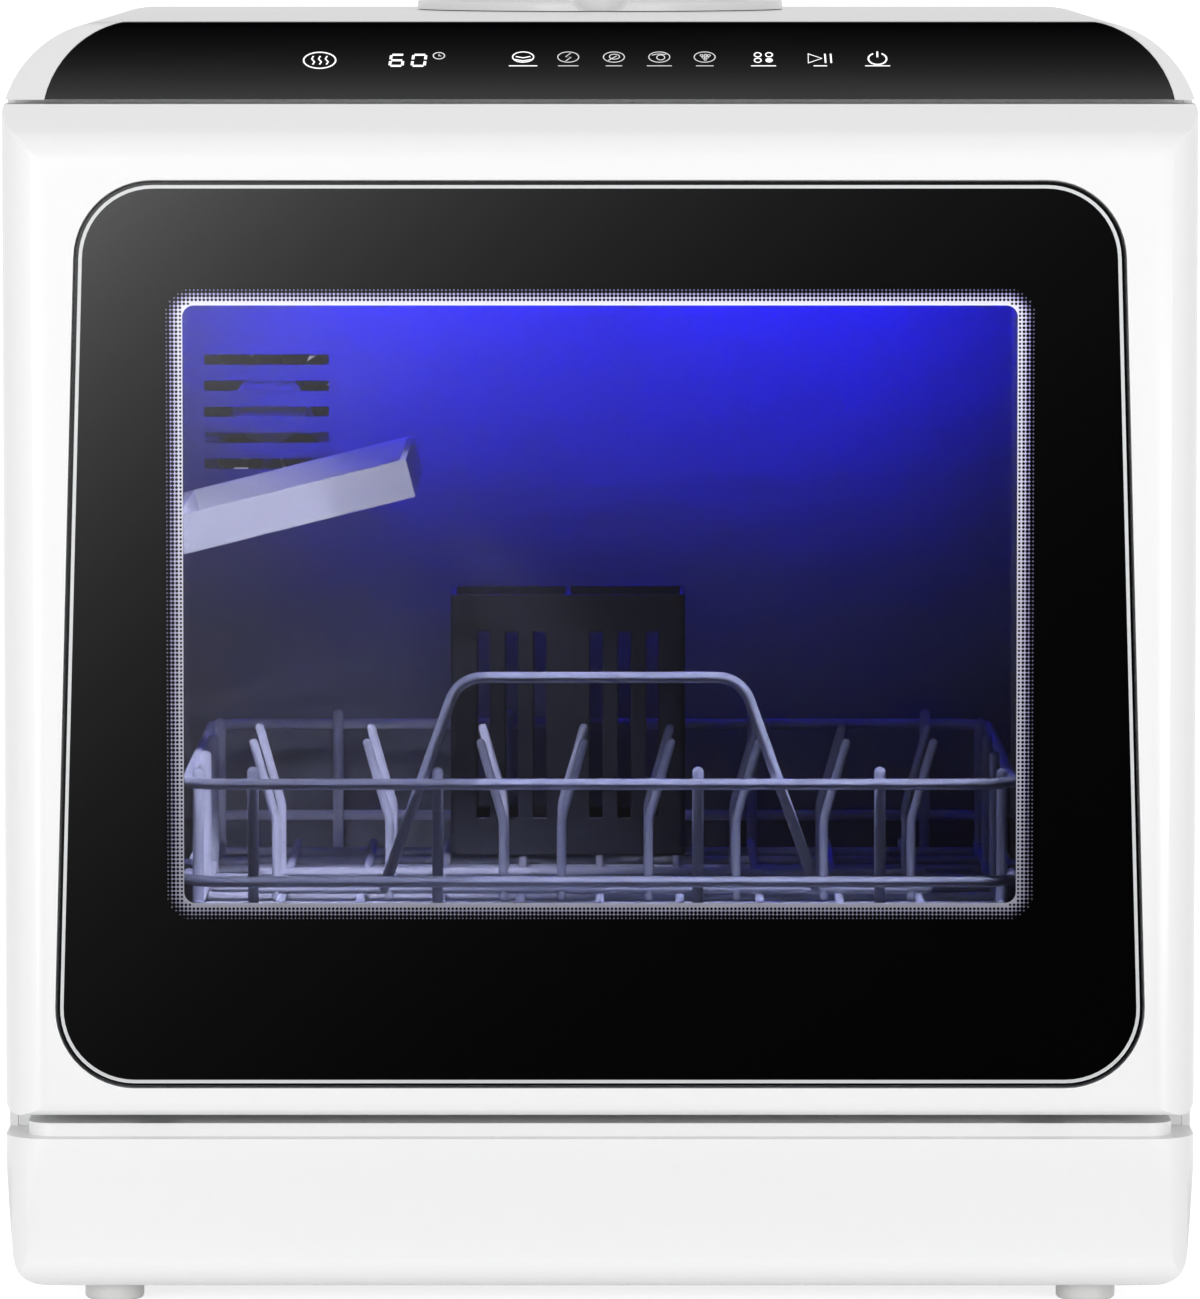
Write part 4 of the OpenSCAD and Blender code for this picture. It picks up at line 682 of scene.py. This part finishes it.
# the painted glow round the window, on a thin emitting sheet just behind the print
glowGrows = pane["glowGrows"]
glowMesh = plateMesh("windowGlow", [windowLoop(grow) for grow in glowGrows], pane["glowFront"],
                     pane["glowBack"], makePaintedGlowMaterial())
# the map says how far along its loop and how far out across the band a point lies
bandMap = glowMesh.uv_layers.new(name="band")
loopSize = len(windowLoop(0))
for loop in glowMesh.loops:
    ringIndex = loop.vertex_index // loopSize % len(glowGrows)
    along = loop.vertex_index % loopSize / loopSize
    bandMap.data[loop.index].uv = (along, glowGrows[ringIndex] / glowGrows[-1])
given(linked("windowGlow", glowMesh), "door")
print("door pane, print and dots")


# signs printed on the touch panel; sizes in millimetres on the slope, u to the right, v up the slope

slope = {"front": -215, "foot": 411, "angle": 41, "lift": 0.03, "thick": 0.05}
signs = {
    "row": 45.0, "brightLevel": 0.95, "faintLevel": 0.42,
    # widths of the drawn lines
    "keyLine": 0.6, "ovalLine": 0.55, "thinLine": 0.45,
    "clockLine": 0.4, "dimLine": 0.35, "dimIcon": 0.33,
    "dryOval": (-98.8, 11.3, 8.4), "digits": (-71.6, -63.8), "digitSize": (4.4, 5.8),
    "clock": (-56.8, 4.0, 3.4),
    "programmes": (-27.1, -11.2, 4.9, 20.9, 36.9), "programmeOval": (7.4, 5.4), "programmeLift": 1.7,
    "mode": 57.6, "play": 77.6, "power": 97.8, "dashRow": -2.9,
    "programmeDashes": (5.0, 3.6, 2.9, 4.4, 3.1), "keyDashes": (4.4, 2.4, 4.4),
}


def onSlope(u, v, lift):
    a = math.radians(slope["angle"])
    base = Vector((u, slope["front"], slope["foot"]))
    return (base + Vector((0, math.cos(a), math.sin(a))) * v
            + Vector((0, -math.sin(a), math.cos(a))) * lift) * mm


def strokeQuads(points, width, closed=False):  # a flat line of even width along points
    left, right = [], []
    count = len(points)
    for i, p in enumerate(points):
        before = points[i - 1] if (i or closed) else p
        after = points[(i + 1) % count] if (i < count - 1 or closed) else p
        along = (Vector(after) - Vector(before)).normalized()
        side = Vector((-along.y, along.x)) * width / 2
        left.append(Vector(p) + side)
        right.append(Vector(p) - side)
    quads = []
    for i in range(count if closed else count - 1):
        j = (i + 1) % count
        quads.append((right[i], right[j], left[j], left[i]))
    return quads


def oval(u, v, w, h, steps=40, start=0, sweep=360):
    full = abs(sweep) == 360
    return [(u + w / 2 * math.cos(math.radians(start + sweep * k / steps)),
             v + h / 2 * math.sin(math.radians(start + sweep * k / steps)))
            for k in range(steps if full else steps + 1)]


def digitQuads(u, v, w, h, lit):  # seven bars, slightly apart
    t, gap, waist, lean = 0.95, 0.3, 0.5, 0.1
    bars = {
        "top": ((-w / 2 + gap, h / 2), (w / 2 - gap, h / 2)),
        "mid": ((-w / 2 + gap, 0), (w / 2 - gap, 0)),
        "low": ((-w / 2 + gap, -h / 2), (w / 2 - gap, -h / 2)),
        "upLeft": ((-w / 2, waist), (-w / 2, h / 2 - gap)),
        "upRight": ((w / 2, waist), (w / 2, h / 2 - gap)),
        "downLeft": ((-w / 2, -h / 2 + gap), (-w / 2, -waist)),
        "downRight": ((w / 2, -h / 2 + gap), (w / 2, -waist)),
    }
    quads = []
    for bar in lit:
        ends = [(u + p[0] + p[1] * lean, v + p[1]) for p in bars[bar]]
        quads += strokeQuads(ends, t)
    return quads


def signMesh(name, quads, material):
    verts, faces = [], []
    for quad in quads:
        n = len(quad)
        start = len(verts)
        verts += [onSlope(p[0], p[1], slope["lift"]) for p in quad]
        verts += [onSlope(p[0], p[1], slope["lift"] - slope["thick"]) for p in quad]
        faces.append(tuple(range(start, start + n)))
        faces.append(tuple(range(start + 2 * n - 1, start + n - 1, -1)))
        faces += [(start + i, start + i + n, start + (i + 1) % n + n, start + (i + 1) % n)
                  for i in range(n)]
    return facingOut(meshOf(name, verts, faces, material))


def programmeQuads(u, v, w, h, kind, line):
    quads = strokeQuads(oval(u, v, w, h), line, True)
    if kind == 0:  # bowl under a lid
        quads += strokeQuads([(u - 2.6, v + 0.3), (u, v - 0.4), (u + 2.6, v + 0.3)], line)
        quads += strokeQuads([(u - 3.0, v - 1.2), (u, v - 2.0), (u + 3.0, v - 1.2)], line)
    elif kind == 1:  # spark
        quads += strokeQuads([(u + 0.9, v + 2.1), (u - 1.0, v + 0.1), (u + 1.0, v - 0.1),
                              (u - 0.9, v - 2.1)], line)
    elif kind == 2:  # leaf
        quads += strokeQuads(oval(u + 0.2, v + 0.2, 3.6, 2.6), line, True)
        quads += strokeQuads([(u - 2.0, v - 1.8), (u + 1.0, v + 0.6)], line)
    elif kind == 3:  # drop and pot
        quads += strokeQuads(oval(u + 0.5, v - 0.2, 2.8, 2.6), line, True)
        quads += strokeQuads([(u - 2.6, v + 1.0), (u - 0.4, v + 1.6), (u + 2.4, v + 1.4)], line)
    else:  # bunch of balls
        for dx, dv in ((-1.1, 0.9), (0.3, 1.0), (1.5, 0.8), (-0.5, -0.1), (0.9, -0.1), (0.2, -1.2)):
            quads += strokeQuads(oval(u + dx, v + dv, 1.0, 1.0, 10), line * 0.8, True)
    return quads


def brightSigns(s):
    v, bold, medium, thin = s["row"], s["keyLine"], s["ovalLine"], s["thinLine"]
    u, w, h = s["dryOval"]
    quads = strokeQuads(oval(u, v, w, h), medium, True)
    for dx in (-2.4, 0, 2.4):  # three rising waves
        quads += strokeQuads([(u + dx, v - 2.2), (u + dx + 0.6, v - 0.8), (u + dx - 0.4, v + 0.7),
                              (u + dx + 0.2, v + 2.2)], medium)
    w, h = s["digitSize"]
    # a six and a nought
    sets = (("top", "mid", "low", "upLeft", "downLeft", "downRight"),
            ("top", "low", "upLeft", "upRight", "downLeft", "downRight"))
    for u, lit in zip(s["digits"], sets):
        quads += digitQuads(u, v, w, h, lit)
    quads += programmeQuads(s["programmes"][0], v + s["programmeLift"], *s["programmeOval"], 0, thin)
    u = s["mode"]
    for dx, dv in ((-2, 1.9), (2, 1.9), (-2, -1.0)):
        quads += strokeQuads(oval(u + dx, v + 1 + dv, 2.4, 2.2, 20), thin, True)
    quads.append([Vector(p) for p in oval(u + 2, v, 2.6, 2.3, 20)])
    u = s["play"]
    quads += strokeQuads([(u - 4.2, v + 3.4), (u + 0.6, v + 1), (u - 4.2, v - 1.4)], medium, True)
    for dx in (1.8, 3.8):
        quads += strokeQuads([(u + dx - 0.1, v + 3.4), (u + dx + 0.1, v - 1.4)], bold)
    u = s["power"]
    quads += strokeQuads(oval(u, v + 0.8, 6.4, 6.0, 32, 118, 304), bold)
    quads += strokeQuads([(u, v + 1.6), (u, v + 4.6)], bold)
    low = v + s["dashRow"]
    halves = (s["programmeDashes"][0], *s["keyDashes"])
    for u, half in zip((s["programmes"][0], s["mode"], s["play"], s["power"]), halves):
        quads += strokeQuads([(u - half, low), (u + half, low)], thin)
    return quads


def faintSigns(s):
    v = s["row"]
    u, w, h = s["clock"]
    quads = strokeQuads(oval(u, v + 2.4, w, h, 24), s["clockLine"], True)
    quads += strokeQuads([(u, v + 3.3), (u, v + 2.3), (u + 0.8, v + 2.3)], s["dimLine"])
    low = v + s["dashRow"]
    for kind, u in enumerate(s["programmes"][1:], 1):
        half = s["programmeDashes"][kind]
        quads += programmeQuads(u, v + s["programmeLift"], *s["programmeOval"], kind, s["dimIcon"])
        quads += strokeQuads([(u - half, low), (u + half, low)], s["dimLine"])
    return quads


for pieceName, quads, light in (("brightSigns", brightSigns(signs), signs["brightLevel"]),
                                ("faintSigns", faintSigns(signs), signs["faintLevel"])):
    litPrint = glowing(pieceName + "Print", (0.5, 0.5, 0.5), (light, light, light), 1.0)
    given(linked(pieceName, signMesh(pieceName, quads, litPrint)), "cabinet")
print("signs on the touch panel")


# studio: camera, white room, soft boxes, and the cards that the pane and the touch panel mirror

studio = {
    "cameraPlace": (0, -3.615, 0.5085), "tiltDown": 4.6, "lens": 269.6, "sensor": 36, "farthest": 200,
    "ambient": 0.62, "floorHalf": 60, "floorLift": 0.7, "floorWhite": (0.93, 0.97),
    "boxes": [  # name, place, target, width, height, level
        ("keyLight", (-1.7, -3.0, 0.42), (0, -0.2, 0.25), 1.4, 0.7, 9.9),
        ("fillLight", (1.9, -3.0, 0.42), (0, -0.2, 0.25), 1.4, 0.7, 8.7),
    ],
    "cardPlace": -4.1, "cardHalf": 0.45, "cardTop": 0.3, "floorCardFront": -0.26, "floorCardLift": 0.001,
    "cardGlow": 2.5, "cardFloor": 0.02, "fallAcross": 9.3, "fallDown": 10.6, "fallMost": 1.2,
    "brightAt": (-0.17, 0.3855),
    "overPlace": 1.2, "overHalf": 0.9, "overFront": -0.11, "overDepth": 0.05,
    "overStops": ((0.0, 1.0), (0.06, 0.85), (0.3, 0.3), (0.5, 0.08), (0.7, 0.0)),
    "chamberLamps": [  # name, place, target, width, height, colour, watts, spread in degrees
        ("chamberLight", (0, -0.02, 0.373), (0, 0.116, 0.32), 0.24, 0.02, (0.02, 0.012, 1.0), 6.0, 80),
        ("rackLight", (-0.02, -0.165, 0.37), (-0.02, -0.151, 0.16), 0.28, 0.01,
         (0.75, 0.8, 0.95), 0.78, 26),
        ("shelfLight", (-0.11, -0.172, 0.34), (-0.12, -0.109, 0.268), 0.06, 0.01,
         (0.92, 0.93, 1.0), 1.5, 70),
    ],
}


def addAreaLight(name, place, target, width, height, power, colour=(1, 1, 1), spread=180):
    data = bpy.data.lights.new(name, "AREA")
    data.shape = "RECTANGLE"
    data.size, data.size_y = width, height
    data.energy = power
    data.color = colour
    data.spread = math.radians(spread)
    lamp = bpy.data.objects.new(name, data)
    lamp.location = place
    aim = Vector(target) - Vector(place)
    lamp.rotation_euler = aim.to_track_quat("-Z", "Y").to_euler()
    lamp.visible_camera = False
    scene.collection.objects.link(lamp)


def addCamera():
    data = bpy.data.cameras.new("camera")
    data.lens = studio["lens"]
    data.sensor_width = studio["sensor"]
    data.clip_end = studio["farthest"]
    camera = bpy.data.objects.new("camera", data)
    camera.location = studio["cameraPlace"]
    camera.rotation_euler = (math.radians(90 - studio["tiltDown"]), 0, 0)
    scene.collection.objects.link(camera)
    scene.camera = camera


def seenRays(tree):  # 1 for the rays that see a background, 0 for the rays that light the object
    rays = addNode(tree, "ShaderNodeLightPath")
    bounced = calc(tree, "MAXIMUM", rays.outputs["Is Glossy Ray"], rays.outputs["Is Transmission Ray"])
    return calc(tree, "MAXIMUM", rays.outputs["Is Camera Ray"], bounced)


def addWorld():
    world = bpy.data.worlds.new("whiteRoom")
    scene.world = world
    world.use_nodes = True
    tree = world.node_tree
    level = addNode(tree, "ShaderNodeMapRange", values={"To Min": studio["ambient"], "To Max": 1.0},
                    wires={"Value": seenRays(tree)})
    tree.links.new(level.outputs[0], tree.nodes["Background"].inputs["Strength"])
    tree.nodes["Background"].inputs["Color"].default_value = (1, 1, 1, 1)


def addFloor():
    half = studio["floorHalf"]
    material, tree, principled, place = newMaterial("floorPaper", {
        "Roughness": 0.9, "Specular IOR Level": 0.1, "Emission Color": (1, 1, 1, 1)})
    fibre = addNode(tree, "ShaderNodeTexNoise", values={"Scale": 400, "Detail": 2},
                    wires={"Vector": place})
    dim, bright = studio["floorWhite"]
    shade = addNode(tree, "ShaderNodeMapRange", values={"To Min": dim, "To Max": bright},
                    wires={"Value": fibre.outputs["Fac"]})
    tree.links.new(shade.outputs[0], principled.inputs["Base Color"])
    lift = calc(tree, "MULTIPLY", seenRays(tree), studio["floorLift"])
    tree.links.new(lift, principled.inputs["Emission Strength"])
    corners = [(-half, -half, 0), (half, -half, 0), (half, half, 0), (-half, half, 0)]
    linked("floor", meshOf("floor", corners, [(0, 1, 2, 3)], material))


def cardMaterial(name, makeLevel):  # an emitter whose level is worked out from its own X, Y and Z
    material = bpy.data.materials.new(name)
    material.use_nodes = True
    tree = material.node_tree
    tree.nodes.clear()
    place = addNode(tree, "ShaderNodeTexCoord").outputs["Object"]
    split = addNode(tree, "ShaderNodeSeparateXYZ", wires={0: place})
    glow = addNode(tree, "ShaderNodeEmission", wires={"Strength": makeLevel(tree, *split.outputs)})
    addNode(tree, "ShaderNodeOutputMaterial", wires={"Surface": glow.outputs[0]})
    return material


def addCard(name, corners, material):  # seen only in reflections
    card = linked(name, meshOf(name, corners, [(0, 1, 2, 3)], material))
    card.visible_camera = card.visible_diffuse = card.visible_shadow = False


def paneLevel(tree, x, z):  # bright where the pane's upper left is mirrored, dying away from there
    s = studio
    fallX = calc(tree, "MULTIPLY", calc(tree, "SUBTRACT", x, s["brightAt"][0]), -s["fallAcross"])
    fallZ = calc(tree, "MULTIPLY", calc(tree, "SUBTRACT", z, s["brightAt"][1]), s["fallDown"])
    power = calc(tree, "POWER", math.e, calc(tree, "ADD", fallX, fallZ))
    return calc(tree, "MULTIPLY_ADD", calc(tree, "MINIMUM", power, s["fallMost"]), s["cardGlow"],
                s["cardFloor"])


def wallLevel(tree, x, y, z):
    eyeY, eyeZ = studio["cameraPlace"][1:]
    stretch = (pane["front"] * mm - studio["cardPlace"]) / (pane["front"] * mm - eyeY)
    paneX = calc(tree, "MULTIPLY", x, 1 / (1 + stretch))
    paneZ = calc(tree, "MULTIPLY", calc(tree, "ADD", z, stretch * eyeZ), 1 / (1 + stretch))
    return paneLevel(tree, paneX, paneZ)


def groundLevel(tree, x, y, z):
    eyeY, eyeZ = studio["cameraPlace"][1:]
    reach = pane["front"] * mm - eyeY
    far = calc(tree, "SUBTRACT", pane["front"] * mm, y)
    paneZ = calc(tree, "MULTIPLY", calc(tree, "DIVIDE", far, calc(tree, "ADD", far, reach)), eyeZ)
    shrink = calc(tree, "MULTIPLY_ADD", paneZ, -1 / eyeZ, 1)
    return paneLevel(tree, calc(tree, "MULTIPLY", x, shrink), paneZ)


def overLevel(tree, x, y, z):  # white in front, dark behind, with a soft step between
    share = addNode(tree, "ShaderNodeMapRange", wires={"Value": y}, values={
        "From Min": studio["overFront"], "From Max": studio["overFront"] + studio["overDepth"]})
    stops = [(at, (level, level, level, 1)) for at, level in studio["overStops"]]
    return addRamp(tree, share.outputs[0], stops)


def addCards():
    w, far, top = studio["cardHalf"], studio["cardPlace"], studio["cardTop"]
    near, lift = studio["floorCardFront"], studio["floorCardLift"]
    addCard("wallCard", [(-w, far, 0), (-w, far, top), (w, far, top), (w, far, 0)],
            cardMaterial("wallCard", wallLevel))
    addCard("groundCard", [(-w, far, lift), (w, far, lift), (w, near, lift), (-w, near, lift)],
            cardMaterial("groundCard", groundLevel))
    w, z = studio["overHalf"], studio["overPlace"]
    addCard("overCard", [(-w, -w, z), (-w, w, z), (w, w, z), (w, -w, z)],
            cardMaterial("overCard", overLevel))


addCamera()
addWorld()
addFloor()
addCards()
for boxName, place, target, width, height, level in studio["boxes"]:
    addAreaLight(boxName, place, target, width, height, level * math.pi * width * height)
for boxName, place, target, width, height, colour, watts, spread in studio["chamberLamps"]:
    addAreaLight(boxName, place, target, width, height, watts, colour, spread)
scene.view_settings.view_transform = "Standard"
print("studio")
